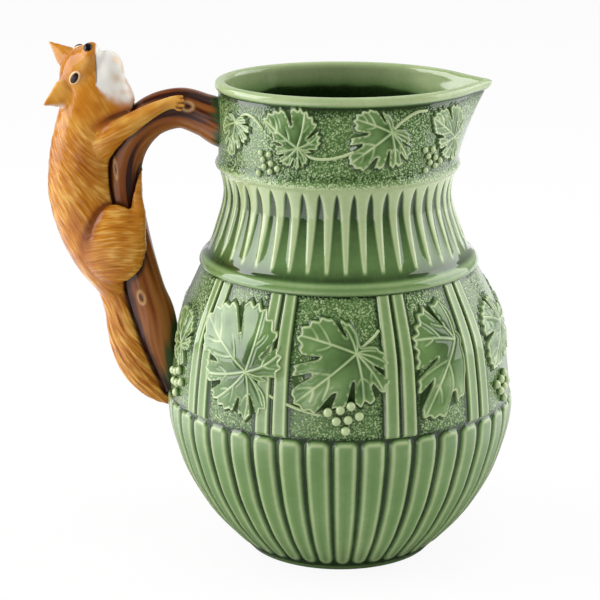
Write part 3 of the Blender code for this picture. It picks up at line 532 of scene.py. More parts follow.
# Glaze pooled on the wall round a leaf: how far out from the rim, above the wall, and how thin
LEAF_POOL = ((0.15, 0.4, 0.36), (0.7, 0.12, 0.06), (1.6, 0.07, 0.2))
SIDE_VEIN_TURN, SIDE_VEIN_BEND, VEIN_BEND = 36, 16, 0.14
VEIN_STEP = 0.006
VEIN_START, VEIN_LOSS = 1, 0.35
SIDE_VEIN_START, SIDE_VEIN_LOSS = 0.8, 0.4
SQUEEZE_FROM_TIP, SQUEEZE_TO_STALK = 12, 20
RIM_STRENGTH, DOME_REACH = 0.95, 0.9
PUFF_FROM_VEIN, PUFF_FROM_RIM = 2.2, 2.4
HOLLOW_SCALE, HOLLOW_FROM_RIM, HOLLOW_FROM_STALK = 4.2, 3, 0.7
RIDGE_RISE, RIDGE_LEVEL, PUFF_RISE, HOLLOW_RISE = 0.5, 0.6, 0.3, 0.3
STALK_THIN, LOBE_THIN, RIDGE_THIN, PUFF_THIN, HOLLOW_THIN = 0.1, 0.29, 0.75, 0.1, 0.4
leaf_rim = smooth_curve((0, 0.5), (0.3, 0.85), (0.7, 0.5), (1.3, 0))
vein_ridge = smooth_curve((0, 1), (0.22, 0.9), (0.55, 0.35), (0.95, 0))


def spoke(degrees, length):
    angle = math.radians(degrees)
    return Vector((length * math.cos(angle), length * math.sin(angle), 0))


def lobe_reach(mould, turn, left_share):
    """Share of the leaf's length that its lobes reach at a turn to the left of the tip, teeth rounded."""
    squeeze = (1 - left_share) * ease(turn / SQUEEZE_FROM_TIP) * ease((180 - turn) / SQUEEZE_TO_STALK)
    outline = mould["right" if turn < 0 else "left"]
    around = [min(abs(turn) + shift, 180) for shift in (-TOOTH_ROUND, 0, TOOTH_ROUND)]
    return sum(outline(abs(place)) for place in around) / len(around) * (1 - squeeze)


def leaf_reach(mould, turn, left_share):
    """Share of the leaf's length that its outline reaches, with the bays between the lobes."""
    reach = lobe_reach(mould, turn, left_share)
    for bay, left_over in mould["bays"]:
        reach *= left_over + (1 - left_over) * ease((abs(turn - bay) - BAY_HALF) / BAY_SIDE)
    return reach


def point_tree(points):
    tree = kdtree.KDTree(len(points))
    for index, point in enumerate(points):
        tree.insert(point, index)
    tree.balance()
    return tree


def vein_points(mould, left_share):
    """Points along the middle of every vein, in shares of the leaf's length, and how strong each is."""
    points, weights = [], []
    for turn, length, side_veins in mould["veins"]:
        length *= lobe_reach(mould, turn, left_share) / lobe_reach(mould, turn, 1)
        count = math.ceil(length / VEIN_STEP)
        for t in steps(0, 1, count):
            points.append(spoke(turn * (1 + VEIN_BEND * (1 - t)), length * t))
            weights.append(VEIN_START - VEIN_LOSS * t)
        for share, side, side_length in side_veins:
            start = spoke(turn * (1 + VEIN_BEND * (1 - share)), length * share)
            count = math.ceil(side_length / VEIN_STEP)
            for t in steps(0, 1, count):
                bend = SIDE_VEIN_TURN + SIDE_VEIN_BEND * (1 - t)
                points.append(start + spoke(turn + side * bend, side_length * t))
                weights.append(SIDE_VEIN_START - SIDE_VEIN_LOSS * t)
    return points, weights


def leaf_mesh(leaf, bottom, height_of_band, edge, dome, ground):
    """A leaf on the wall: its veined and puffed face from the stalk out to the rim, the glaze that has
    pooled round it, and its underside, sunk in the slip."""
    stalk, stalk_share, tip, tip_share, left_share, mould = leaf
    height = bottom + stalk_share * height_of_band
    radius = wall_radius(height, stalk)
    to_tip = Vector((math.radians(tip - stalk) * radius, (tip_share - stalk_share) * height_of_band))
    length, way = to_tip.length, Matrix.Rotation(math.atan2(to_tip.y, to_tip.x), 3, "Z")
    turns = [360 * column / LEAF_COLUMNS - 180 for column in range(LEAF_COLUMNS)]
    rims = [leaf_reach(mould, turn, left_share) for turn in turns]
    rim_tree = point_tree([spoke(turn, rim) for turn, rim in zip(turns, rims)])
    vein_line, vein_weights = vein_points(mould, left_share)
    vein_tree = point_tree(vein_line)
    bm = bmesh.new()
    thin = bm.verts.layers.float.new("thin")
    pool_row = len(LEAF_SHARES)
    under_row = pool_row + len(LEAF_POOL)
    rows = under_row + 1
    for vert in bmesh.ops.create_grid(bm, x_segments=LEAF_COLUMNS, y_segments=rows, size=1)["verts"]:
        column, row = round((vert.co.x + 1) / 2 * LEAF_COLUMNS), round((vert.co.y + 1) / 2 * rows)
        turn, rim = turns[column % LEAF_COLUMNS], rims[column % LEAF_COLUMNS]
        if row < pool_row:
            place = spoke(turn, rim * LEAF_SHARES[row])
            to_rim = rim_tree.find(place)[2] * length
            _, index, to_vein = vein_tree.find(place)
            to_vein *= length
            raised = max(leaf_rim(to_rim) * RIM_STRENGTH, vein_ridge(to_vein) * vein_weights[index])
            swell = 1 - ease(place.length / DOME_REACH)
            puff = ease(to_vein / PUFF_FROM_VEIN) * ease(to_rim / PUFF_FROM_RIM)
            lobe = ease(place.length / HOLLOW_FROM_STALK)
            hollow = noise.noise(place * HOLLOW_SCALE + Vector((stalk, 0, 0)))
            hollow *= ease(to_rim / HOLLOW_FROM_RIM) * lobe
            rise = edge + (dome - edge) * swell + RIDGE_RISE * (raised - RIDGE_LEVEL)
            rise += PUFF_RISE * puff + HOLLOW_RISE * hollow
            vert[thin] = STALK_THIN + LOBE_THIN * lobe + RIDGE_THIN * raised
            vert[thin] += PUFF_THIN * puff + HOLLOW_THIN * hollow
        elif row < under_row:
            out, rise, vert[thin] = LEAF_POOL[row - pool_row]
            reach = rim + out / length
            if row == under_row - 1:
                reach = max(reach, lobe_reach(mould, turn, left_share))
            place = spoke(turn, reach)
        else:
            place = spoke(turn, rim if row < rows else 0)
            rise = LEAF_SINK
        spot = way @ (place * length)
        vert.co = on_wall(stalk + math.degrees(spot.x / radius), height + spot.y, ground + rise)
    return bm


def add_pair(family, number, bm, material, slot, replaced=True):
    """The near piece, and its mirror image on the far side of the jug."""
    far = bm.copy()
    bmesh.ops.scale(far, vec=(1, -1, 1), verts=far.verts)
    for side, shape in (("near", bm), ("far", far)):
        node = f"{family}_{side}_{number}"
        add_piece("glazed_" + node, shape, material, slot, *([node] if replaced else []))


sprig_glaze = glaze_material("sprig_glaze", GREENS, LEAD_GLAZE_INDEX, roughness=0.06, relief=0.15)
for number, leaf in enumerate(BELLY_LEAVES, 1):
    bm = leaf_mesh(leaf, PANEL_BOTTOM, PANEL_HEIGHT, BELLY_EDGE, BELLY_DOME, GROUND)
    add_pair("belly_leaf", number, bm, sprig_glaze, "sprig_glaze")
for number, leaf in enumerate(NECK_LEAVES, 1):
    bm = leaf_mesh(leaf, BAND_BOTTOM, BAND_HEIGHT, NECK_EDGE, NECK_DOME, 0)
    add_pair("neck_leaf", number, bm, sprig_glaze, "sprig_glaze")


# Grapes: balls of clay set in bunches on the wall beside the leaves, luted on and glazed with it. The
# glaze runs off their crowns, which stay pale, and pools round their feet.
# Bunches: angle and share of the band's height. Berries: distance across and up from there
BELLY_GRAPES = ((-160, 0.172), (-88.5, 0.165), (-21, 0.15))
BELLY_BERRIES = ((-7.4, 3.7), (-1.8, 4.8), (3, 6.5), (-3.6, -0.3), (1.7, 0.3), (6.7, 1.9), (0.6, -4.7))
NECK_GRAPES = ((-128.5, 0.232), (-45, 0.26))
NECK_BERRIES = ((-1.7, 3.8), (3, 3.5), (-0.1, 0.8), (4.5, -0.4), (0.9, -2.2), (-1.9, -5.4), (4.3, -4.1),
                (7.9, -2.3))
BELLY_BERRY, NECK_BERRY = 2.2, 1.5
BERRY_SINK = 0.35
BERRY_SIDES, BERRY_RINGS = 24, 14
BERRY_FOOT_THIN, CROWN_START, CROWN_BLEND = 0.2, -0.2, 0.9


def grape_mesh(degrees, height, berries, radius, ground):
    bm = bmesh.new()
    thin = bm.verts.layers.float.new("thin")
    for across, up in berries:
        turn = degrees + math.degrees(across / wall_radius(height, degrees))
        centre = on_wall(turn, height + up, ground + radius * BERRY_SINK)
        outward = Vector((centre.x, centre.y, 0)).normalized()
        ball = bmesh.ops.create_uvsphere(bm, u_segments=BERRY_SIDES, v_segments=BERRY_RINGS, radius=radius,
                                         matrix=Matrix.Translation(centre))["verts"]
        for vert in ball:
            crown = ease(((vert.co - centre).dot(outward) / radius - CROWN_START) / CROWN_BLEND)
            vert[thin] = BERRY_FOOT_THIN + (1 - BERRY_FOOT_THIN) * crown
    return bm


for number, (degrees, share) in enumerate(BELLY_GRAPES, 1):
    bm = grape_mesh(degrees, PANEL_BOTTOM + share * PANEL_HEIGHT, BELLY_BERRIES, BELLY_BERRY, GROUND)
    add_pair("belly_grapes", number, bm, sprig_glaze, "sprig_glaze")
for number, (degrees, share) in enumerate(NECK_GRAPES, 1):
    bm = grape_mesh(degrees, BAND_BOTTOM + share * BAND_HEIGHT, NECK_BERRIES, NECK_BERRY, 0)
    add_pair("neck_grapes", number, bm, sprig_glaze, "sprig_glaze")


# Vine stems: thin rolls of clay that run along the wall from the leaves' stalks to the grapes and to the
# next leaf, pressed on with slip under the same glaze. Points are angle and height on the near side.
STEMS = (((-122, 106), (-117, 100), (-113.3, 96.6), (-108.3, 94), (-101, 91), (-95.4, 89.5)),
         ((-84.6, 117.6), (-81, 121), (-77.5, 124.5), (-75.9, 126.7)),
         ((-148.3, 212.8), (-143.7, 217.1), (-137.5, 216.5), (-130.6, 211.8)),
         ((-111, 205.5), (-104.5, 201.7), (-96.7, 201.1), (-89, 202.5), (-83, 204.5)),
         ((-64.6, 212), (-58.1, 216.4), (-49.9, 219.9), (-42.9, 220.1)))
STEM_RADIUS, STEM_SIDES, STEM_STEPS = 0.7, 10, 12
STEM_TAPER, STEM_STAND, STEM_THIN = 2, 0.3, 0.95


def curve_through(points, count):
    """Points on a smooth curve through the given ones, which may be tuples of any length."""
    first = [2 * a - b for a, b in zip(points[0], points[1])]
    last = [2 * a - b for a, b in zip(points[-1], points[-2])]
    chain = [first, *points, last]
    line = []
    for before, start, end, after in zip(chain, chain[1:], chain[2:], chain[3:]):
        for t in steps(0, 1, count)[:-1]:
            line.append([b + t * (c - a) / 2 + t * t * (a - 2.5 * b + 2 * c - d / 2)
                         + t ** 3 * (1.5 * (b - c) + (d - a) / 2)
                         for a, b, c, d in zip(before, start, end, after)])
    return line + [list(points[-1])]


def wrap_tube(bm, stations, sides, side_axis):
    """Wrap a grid into a closed tube through stations: centre, and half sizes square to and along the
    side axis. Returns its points with their turn round the tube and their place along it."""
    rows = len(stations) - 1
    centres = [Vector(station[:3]) for station in stations]
    points = []
    for vert in bmesh.ops.create_grid(bm, x_segments=sides, y_segments=rows, size=1)["verts"]:
        turn = math.pi * (vert.co.x + 1)
        row = round((vert.co.y + 1) / 2 * rows)
        ahead = centres[min(row + 1, rows)] - centres[max(row - 1, 0)]
        outward = side_axis.cross(ahead).normalized()
        sideways = ahead.cross(outward).normalized()
        vert.co = (centres[row] + outward * stations[row][3] * math.cos(turn)
                   + sideways * stations[row][4] * math.sin(turn))
        points.append((vert, turn, row))
    return points


for number, stem in enumerate(STEMS, 1):
    bm = bmesh.new()
    thin = bm.verts.layers.float.new("thin")
    line = curve_through(stem, STEM_STEPS)
    ground = GROUND if stem[0][1] < BELT_BOTTOM else 0
    middle = on_wall(*stem[len(stem) // 2], 0)
    stations = []
    for index, (degrees, height) in enumerate(line):
        radius = STEM_RADIUS * min(index, len(line) - 1 - index, STEM_TAPER) / STEM_TAPER
        stations.append((*on_wall(degrees, height, ground + STEM_STAND), radius, radius))
    for vert, turn, row in wrap_tube(bm, stations, STEM_SIDES, Vector((middle.x, middle.y, 0))):
        vert[thin] = STEM_THIN
    add_pair("vine_stem", number, bm, sprig_glaze, "sprig_glaze", replaced=False)


# Branch handle: a bent limb of the same clay, cast in a mould of its own and luted to the neck and to the
# belly. It is painted brown under a clear glaze, and the body's green runs on to both of its ends.
# The centre line is given from the neck down to the belly as reach from the axis, height and radius.
BARK_DARK = (0.036, 0.010, 0.006, 1)
BARK_BROWN = (0.270, 0.074, 0.012, 1)
BARK_TAN = (0.340, 0.125, 0.028, 1)
BARK_PALE = (0.680, 0.400, 0.180, 1)
JOINT_GREEN = (0.045, 0.080, 0.025, 1)
NECK_JOINT, BELLY_JOINT = 206, 76
JOINT_SINK = 2.5
NECK_WALL, BELLY_WALL = wall_radius(NECK_JOINT, 180), wall_radius(BELLY_JOINT, 180)
BRANCH_LINE = ((NECK_WALL - 5 * JOINT_SINK, NECK_JOINT - 3, 11),
               (NECK_WALL - JOINT_SINK, NECK_JOINT + 1, 11.4),
               (64, 211, 9.8), (76, 214.2, 9.4), (90, 209.2, 9.3), (99.5, 196.5, 8.8), (102.6, 178, 8.5),
               (99.8, 153, 9.1), (94.5, 127, 10), (90.4, 113, 10.7), (87, 99, 9.4),
               (BELLY_WALL - JOINT_SINK, BELLY_JOINT, 5))
BRANCH_SIDES, BRANCH_STEPS = 96, 22
SIDE = Vector((0, 1, 0))
branch_line = curve_through(BRANCH_LINE, BRANCH_STEPS)


def keep_out_of_jug(verts):
    """Move what would reach into the jug's wall back to a little under the wall's surface."""
    for vert in verts:
        degrees = math.degrees(math.atan2(vert.co.y, vert.co.x))
        reach = math.hypot(vert.co.x, vert.co.y)
        least = wall_radius(min(max(vert.co.z, 0), RIM_HEIGHT), degrees) - JOINT_SINK
        if reach < least:
            vert.co.x *= least / reach
            vert.co.y *= least / reach


def tube_ends(stations):
    """Stations with a point at each end, which closes the tube."""
    return [(*stations[0][:3], 0, 0), *stations, (*stations[-1][:3], 0, 0)]


# Three knots, and a long narrow streak on the near side with a pale rim and a dark middle: place, way along
# the ring, half length and half width
KNOTS_AND_STREAK = ((Vector((-71.2, -9, 216.2)), Vector((1, 0, -0.2)), 2.6, 2),
         (Vector((-94.2, -10, 124.3)), Vector((0.3, 0, -1)), 3.2, 1.6),
         (Vector((-94.4, -6, 217.7)), Vector((1, 0, -0.4)), 1.4, 1),
         (Vector((-105.3, -7.9, 186)), Vector((0.12, 0, -1)), 4.6, 0.9))


def knot_ring(place, knot):
    """How far a place is from the middle of a knot or of the streak, where its ring is at one."""
    centre, way, half_length, half_width = knot
    offset = place - centre
    along = offset.dot(way.normalized())
    across = math.sqrt(max(offset.length_squared - along * along, 0))
    return math.hypot(along / half_length, across / half_width)


TWIST, TWIST_RATE, TWIST_SLICE = 0.9, 0.012, 3
RIDGE_SIZE, RIDGE_RATE, RIDGE_HEIGHT = 1.5, 0.011, 1.1
LINE_SIZE, LINE_RATE, LINE_HEIGHT = 6, 0.02, 0.2
BARK_THIN, RIDGE_PALER, LINE_PALER = 0.55, 0.85, 0.6
GREEN_START, GREEN_BLEND, GREEN_UNEVEN = 0.2, 4, 2.5
RING_WIDTH, RING_PALE, RING_HEIGHT = 0.3, 0.85, 0.5
HEART_DARK, HEART_EDGE, HEART_BLEND = 0.8, 0.4, 0.35


def branch_mesh():
    """The limb with ridges that wind round it and finer lines, its knots and streak, and green at both ends.
    """
    bm = bmesh.new()
    layers = bm.verts.layers.float
    thin, green, dark, pale = (layers.new(name) for name in ("thin", "green", "dark", "pale"))
    stations = tube_ends([(-reach, 0, height, radius, radius) for reach, height, radius in branch_line])
    for vert, turn, row in wrap_tube(bm, stations, BRANCH_SIDES, SIDE):
        centre = Vector(stations[row][:3])
        turn += TWIST * noise.noise(Vector((row * TWIST_RATE, TWIST_SLICE, 0)))
        round_it = Vector((math.cos(turn), math.sin(turn), 0))
        ridge = noise.noise(round_it * RIDGE_SIZE + Vector((0, 0, row * RIDGE_RATE)))
        line = noise.noise(round_it * LINE_SIZE + Vector((0, 0, row * LINE_RATE)))
        if row not in (0, len(stations) - 1):
            vert.co += (vert.co - centre).normalized() * (RIDGE_HEIGHT * ridge + LINE_HEIGHT * line)
        vert[thin] = BARK_THIN + RIDGE_PALER * ridge + LINE_PALER * line
        clear = math.hypot(vert.co.x, vert.co.y) - wall_radius(min(vert.co.z, RIM_HEIGHT), 180)
        vert[green] = 1 - ease((clear + GREEN_UNEVEN * line - GREEN_START) / GREEN_BLEND)
        nearest = min(knot_ring(vert.co, knot) for knot in KNOTS_AND_STREAK)
        ring = math.exp(-((nearest - 1) / RING_WIDTH) ** 2)
        vert[pale] = RING_PALE * ring
        vert[dark] = HEART_DARK * (1 - ease((nearest - HEART_EDGE) / HEART_BLEND))
        vert.co += (vert.co - centre).normalized() * RING_HEIGHT * ring
    keep_out_of_jug(bm.verts)
    return bm


CLEAR_GLAZE_INDEX = 1.42
BARK_PAINTS = (("green", JOINT_GREEN), ("dark", BARK_DARK), ("pale", BARK_PALE))
bark_glaze = glaze_material("bark_glaze", (BARK_DARK, BARK_BROWN, BARK_TAN), CLEAR_GLAZE_INDEX,
                            roughness=0.18, relief=0.2, paints=BARK_PAINTS)
branch_bm = branch_mesh()
branch_tree = bvhtree.BVHTree.FromBMesh(branch_bm)


# Fox: trunk, head, ears, legs and tail cast or pressed apart, luted to each other and along the outer
# side of the branch, and worked together while damp so that no joint shows. Sections are given as share
# of the handle's rise, distance out from the branch, distance to the near side, and two half sizes.
FUR_DEEP = (0.350, 0.092, 0.008, 1)
FUR_ORANGE = (0.550, 0.200, 0.014, 1)
FUR_PALE = (0.780, 0.430, 0.090, 1)
FUR_WHITE = (0.880, 0.870, 0.820, 1)
LINE_BROWN = (0.055, 0.014, 0.006, 1)
# Red brown for painted shade at the joints and behind the ears, and for patches brushed on the fur
FUR_RED_AND_SHADE = (0.300, 0.062, 0.008, 1)
PAINT_BLACK = (0.006, 0.005, 0.005, 1)
TORSO = ((0.331, 13.4, 0, 4, 4), (0.377, 13.2, 0, 7.4, 9), (0.454, 13.6, 0, 11.4, 14),
         (0.546, 16.2, 0, 14.2, 16.6), (0.638, 17.9, 0, 15.8, 17), (0.754, 19.6, 0, 16, 16),
         (0.869, 19.4, 0, 15.4, 15), (0.977, 17, 0, 14.8, 14.6), (1.054, 12.8, 0, 16.6, 13.6),
         (1.123, 11.8, 0, 14.6, 12), (1.192, 9.4, 0, 10.4, 9.4), (1.246, 7.2, 0, 5.2, 5))
TAIL = ((0.43, 13, 0, 8, 9), (0.369, 12.6, 0, 8.6, 8.6), (0.315, 12.4, 0, 8.9, 8.8),
        (0.231, 12.8, 0, 10, 9.8), (0.146, 12.9, 0, 10.2, 9.8), (0.069, 11.6, 0, 9, 8.4),
        (0.008, 8.2, 0, 7, 6), (-0.038, 3, 0, 3.6, 3), (-0.055, 0.6, 0, 1.2, 1.2))
# Limbs off the branch: reach from the axis, height, distance to the near side and radius
FORE_LEG = ((116, 189, 0, 6), (113.8, 194.5, 4.5, 7.6), (112, 198.2, 6.4, 8), (109, 201.6, 8.5, 7.4),
            (103.6, 205.4, 10.5, 6), (97.4, 208.8, 11, 4.8), (88, 214.3, 10.2, 3.6), (81.1, 217.2, 9.3, 3),
            (76.9, 218.2, 9.2, 3.1), (74.6, 218, 9.2, 2.4))
TOES = (((76.4, 220.4, 9, 1.2), (73, 220.6, 9, 1.15)), ((76, 218.8, 10.4, 1.2), (72.2, 218.9, 10.4, 1.15)),
        ((76, 217.1, 11, 1.2), (72.2, 217, 11, 1.15)), ((76.4, 215.5, 10.7, 1.2), (73.2, 215.1, 10.7, 1.1)))
THIGH, THIGH_HALVES = (106.2, 151, 12.5), (15.2, 8.5, 19)
SHIN = ((93.2, 187, 3, 0.6), (94.4, 182.6, 4.6, 1.2), (95.1, 178, 5.8, 1.8), (95.5, 173.5, 6.8, 2.3),
        (95.3, 169, 8.6, 3), (95.2, 164.5, 11, 4), (97.5, 156, 12.5, 6.5), (101, 148, 12.5, 8))
FAR_LEG_RAISE, FAR_LEG_OUT = 12, 3.5
CHIN = ((111.2, 240.4, 5.9, 2.8), (108.2, 236, 4.6, 6.2), (107.8, 230.1, 2.8, 7.2), (106.4, 223.5, 1.5, 7.6),
        (104.6, 217.3, 1.3, 8.4), (105.7, 209.3, 2.4, 9))
HEAD_CENTRE = Vector((-120.7, 3, 228.5))
MUZZLE_WAY = Vector((0, -0.606, 0.795)).normalized()
CHIN_WAY = Vector((1, 0, 0))
FACE_ACROSS = CHIN_WAY.cross(MUZZLE_WAY)
# Head: distance along the muzzle, offset to the chin, and half sizes across and towards the chin
HEAD = ((-11.5, 0, 4, 4), (-9, 0, 8.4, 8), (-4, 0, 11.8, 11), (2, 0.3, 12, 11.2), (7, 1.4, 10.4, 9.6),
        (11, 3, 8, 7), (14.5, 4.3, 6.2, 5), (17.4, 4.9, 5, 4), (19.2, 4.7, 3.2, 2.7))
# Ears: base and tip as forward, chin and across, way of their width, half width and half thickness
EARS = {"near": ((-0.4, -6, 10.6), (-1.4, -17.8, 17.6), (0.5, -0.2, -0.84), 8.8, 3.2),
        "far": ((1.9, -6.6, -8), (4, -17.6, -18.4), (0.7, 0.19, 0.67), 6.6, 2.8)}
EAR_OUTLINE = ((0, 1), (0.3, 0.72), (0.6, 0.42), (0.85, 0.18), (1, 0.05))
FOX_SIDES, FOX_STEPS = 40, 8
FOX_VOXEL = 0.62
FOX_SMOOTHING, BLEND_SMOOTHING = 4, 24
BLEND_REACH = 2.6


def handle_height(share):
    return BELLY_JOINT + share * (NECK_JOINT - BELLY_JOINT)


def branch_reach(height):
    """How far the outer run of the branch stands from the axis at a height."""
    peak = max(range(len(branch_line)), key=lambda index: branch_line[index][0])
    run = branch_line[peak:]
    if height >= run[0][1]:
        return run[0][0]
    for (reach, high, _), (next_reach, low, _) in zip(run, run[1:]):
        if low <= height <= high:
            return reach + (next_reach - reach) * (high - height) / (high - low)
    return run[-1][0]


def along_branch(sections):
    stations = []
    for share, out, near, half_out, half_side in sections:
        height = handle_height(share)
        stations.append((-branch_reach(height) - out, -near, height, half_out, half_side))
    return stations


def off_branch(sections, side=1, out=0, up=0):
    return [(-reach - out, -side * near, height + up, radius, radius)
            for reach, height, near, radius in sections]


def head_point(forward, down, across):
    return HEAD_CENTRE + MUZZLE_WAY * forward + CHIN_WAY * down + FACE_ACROSS * across


def tube_limb(stations, side_axis=SIDE):
    limb = bmesh.new()
    wrap_tube(limb, tube_ends(curve_through(stations, FOX_STEPS)), FOX_SIDES, side_axis)
    bmesh.ops.remove_doubles(limb, verts=limb.verts, dist=SEAM)
    bmesh.ops.recalc_face_normals(limb, faces=limb.faces)
    return limb


def add_ball(bm, centre, turned, halves):
    """A ball with three half sizes, turned and put at its centre."""
    matrix = Matrix.Translation(centre) @ turned.to_4x4() @ Matrix.Diagonal((*halves, 1))
    return bmesh.ops.create_uvsphere(bm, u_segments=FOX_SIDES, v_segments=FOX_SIDES // 2, radius=1,
                                     matrix=matrix)["verts"]


def fox_limbs():
    """The limbs as closed shapes that run into each other."""
    head = [(*head_point(forward, down, 0), half_down, half_across)
            for forward, down, half_across, half_down in HEAD]
    limbs = {"torso": tube_limb(along_branch(TORSO)), "tail": tube_limb(along_branch(TAIL)),
             "head": tube_limb(head, FACE_ACROSS), "chin": tube_limb(off_branch(CHIN))}
    for name, side in (("near", 1), ("far", -1)):
        out, up = (0, 0) if side > 0 else (FAR_LEG_OUT, FAR_LEG_RAISE)
        limbs[name + "_shin"] = tube_limb(off_branch(SHIN, side, out, up))
        thigh = limbs[name + "_thigh"] = bmesh.new()
        reach, height, near = THIGH
        centre = Vector((-reach - out, -side * near, height + up))
        add_ball(thigh, centre, Matrix.Identity(3), THIGH_HALVES)
        limbs[name + "_foreleg"] = tube_limb(off_branch(FORE_LEG, side))
        for number, toe in enumerate(TOES):
            limbs[f"{name}_toe_{number}"] = tube_limb(off_branch(toe, side))
        base, tip, width_way, width, thickness = EARS[name]
        base, tip = head_point(*base), head_point(*tip)
        ear = [(*base.lerp(tip, share), thickness * size, width * size) for share, size in EAR_OUTLINE]
        limbs[name + "_ear"] = tube_limb(ear, Vector(width_way))
    return limbs


def fox_skin():
    """All the limbs run together into one skin, and a tree to measure the distance to each limb."""
    bm = bmesh.new()
    trees = {}
    for name, limb in fox_limbs().items():
        trees[name] = bvhtree.BVHTree.FromBMesh(limb)
        part = bpy.data.meshes.new(name)
        limb.to_mesh(part)
        limb.free()
        bm.from_mesh(part)
        bpy.data.meshes.remove(part)
    rough = bpy.data.meshes.new("fox_rough")
    bm.to_mesh(rough)
    bm.free()
    clay = bpy.data.objects.new("fox_rough", rough)
    bpy.context.collection.objects.link(clay)
    remesh = clay.modifiers.new("skin", "REMESH")
    remesh.mode = "VOXEL"
    remesh.voxel_size = FOX_VOXEL
    skin = bmesh.new()
    skin.from_object(clay, bpy.context.evaluated_depsgraph_get())
    bpy.data.objects.remove(clay)
    bpy.data.meshes.remove(rough)
    return skin, trees


def smooth(bm, verts, rounds):
    for _ in range(rounds):
        bmesh.ops.smooth_vert(bm, verts=verts, factor=0.5, use_axis_x=True, use_axis_y=True, use_axis_z=True)


# Fur of the trunk and the tail: slant, spread to the sides, and length and width of a tuft
BODY_FUR = (math.radians(52), 0.5, (14, 1.6))
TAIL_FUR = (math.radians(58), 0.6, (22, 1.6))
HAUNCH_TUFT, FORELEG_TUFT = (16, 1.5), (12, 1.6)
HAUNCH_MIDDLE, HAUNCH_BEND, HAUNCH_SLOPE, FORELEG_SLOPE = 108, 0.012, 0.12, 0.5
FUR_WANDER, WANDER_SCALE = 2.2, 0.05
WISP_SHARE, WISP_FINER, WISP_NARROWER, WISP_SLICE = 0.5, 2.3, 1.8, 5
STROKE_LENGTH, STROKE_WIDTH, STROKE_SPAN = 8, 0.95, (0.34, 0.68)


def fur_way(limb, place):
    """Where a place lies along and across the combed fur, and how long and wide its tufts are."""
    out, near, height = -place.x, abs(place.y), place.z
    if limb.endswith(("thigh", "shin")):
        bent = height + HAUNCH_BEND * (out - HAUNCH_MIDDLE) ** 2 + HAUNCH_SLOPE * out
        return out + near, bent, *HAUNCH_TUFT
    if limb.endswith("foreleg"):
        return out, height + FORELEG_SLOPE * out, *FORELEG_TUFT
    slant, spreading, tuft = TAIL_FUR if limb == "tail" else BODY_FUR
    run = -out + spreading * near
    along = run * math.cos(slant) - height * math.sin(slant)
    across = run * math.sin(slant) + height * math.cos(slant)
    return along, across + FUR_WANDER * noise.noise(place * WANDER_SCALE), *tuft


def fur_at(along, across, length, width):
    """How far the tufts stand up, from about -1 to 1."""
    along, across = along / length, across / width
    wisps = noise.noise(Vector((along * WISP_FINER, across * WISP_NARROWER, WISP_SLICE)))
    return noise.noise(Vector((along, across, 0))) + WISP_SHARE * wisps


def combed_fur_group():
    """Fine strokes of a comb in damp clay, from -0.5 to 0.5."""
    group, inputs, outputs = new_group("combed_fur", (("Along", "Float"), ("Across", "Float")),
                                       (("Stroke", "Float"),))
    along = math_node(group, "DIVIDE", inputs["Along"], STROKE_LENGTH)
    across = math_node(group, "DIVIDE", inputs["Across"], STROKE_WIDTH)
    place = add_node(group, "CombineXYZ", {"X": along, "Y": across}).outputs[0]
    line = add_node(group, "TexNoise", {"Vector": place, "Scale": 1, "Detail": 1}).outputs["Fac"]
    stroke = math_node(group, "SUBTRACT", spread(group, line, *STROKE_SPAN), 0.5)
    group.links.new(stroke, outputs["Stroke"])
    return group


FUR_DEPTHS = {"head": 0.12, "chin": 0.3, "near_ear": 0.2, "far_ear": 0.2, "near_foreleg": 0.6,
              "far_foreleg": 0.6, "tail": 1.9, "near_shin": 0.5, "far_shin": 0.5}
LIMB_THIN = {"head": 0.43, "near_ear": 0.58, "far_ear": 0.7, "near_foreleg": 0.66, "far_foreleg": 0.66}
FUR_THIN, TUFT_PALER, DEEP_TUFT_PALER, MOTTLE_PALER = 0.52, 0.08, 0.28, 0.3
MOTTLE_SCALE, FINE_MOTTLE_SCALE, FINE_MOTTLE = 0.06, 0.17, 0.8
COMB_STRENGTH, COMB_DEEPEST = 0.38, 1.3
CALM_START, CALM_BLEND, CALM_SHARE = 200, 14, 0.7
TUFT_HEIGHT, LINE_DEPTH, LAST_SMOOTHING = 0.34, 0.4, 2
MOUTH_DOWN, MOUTH_CORNER, MOUTH_FRONT = 7.4, 6.6, 17.4
MOUTH_BROWN, MOUTH_WIDTH, MOUTH_SOFT, MOUTH_END, MOUTH_FRONT_END = 0.8, 0.05, 0.5, 1.5, 1
THROAT_WHITE, THROAT_BOTTOM, THROAT_BLEND = 0.95, 212, 9
THROAT_BACK, THROAT_BACK_SOFT = 24, 3
JAW_SOFT, CHEEK_SLOPE, CHEEK_SOFT, CHEEK_SOFTEST = 0.6, 1.35, 0.9, 9
CHEEK_UNEVEN, CHEEK_SCALE, CHEEK_BLEND = 1.6, 0.3, 3
BLUSH, BLUSH_START, BLUSH_BLEND, BLUSH_PATCHY, BLUSH_SCALE = 0.55, 12.5, 6, 1.2, 0.22
EAR_WHITE, EAR_TURN, EAR_BLEND = 0.5, 0.05, 0.4
BRANCH_WIDTH, BRANCH_SOFT = 0.6, 1.6
# Brown lines and red-brown painted shade along the joints: strength, how wide and how soft, the height where
# they begin, over how much they come up, and the share that stays below it
HAUNCH_BROWN, CROOK_BROWN = (0.55, 0.7, 1.3, 147, 14, 0), (0.75, 0.9, 1.6, 207, 5, 0)
HAUNCH_SHADE, CROOK_SHADE = (0.75, 0.8, 3.2, 143, 14, 0.45), (0.75, 1, 4, 203, 6, 0)
# Painted shade behind the ears, in red brown: strength, how wide and how soft
EAR_SHADE, EAR_SHADE_WIDTH, EAR_SHADE_SOFT = 0.525, 0.6, 2.4
BRUSHED_RED, BRUSHED_SCALE, BRUSHED_PLACE, BRUSHED_START, BRUSHED_BLEND = 0.195, 0.14, 7, 0.12, 0.3
TOE_BROWN, TOE_WIDTH, TOE_SOFT = 0.85, 0.3, 0.5


def fade(gap, start, width):
    """One up to a distance, and down to nothing over a width."""
    return 1 - ease((gap - start) / width)


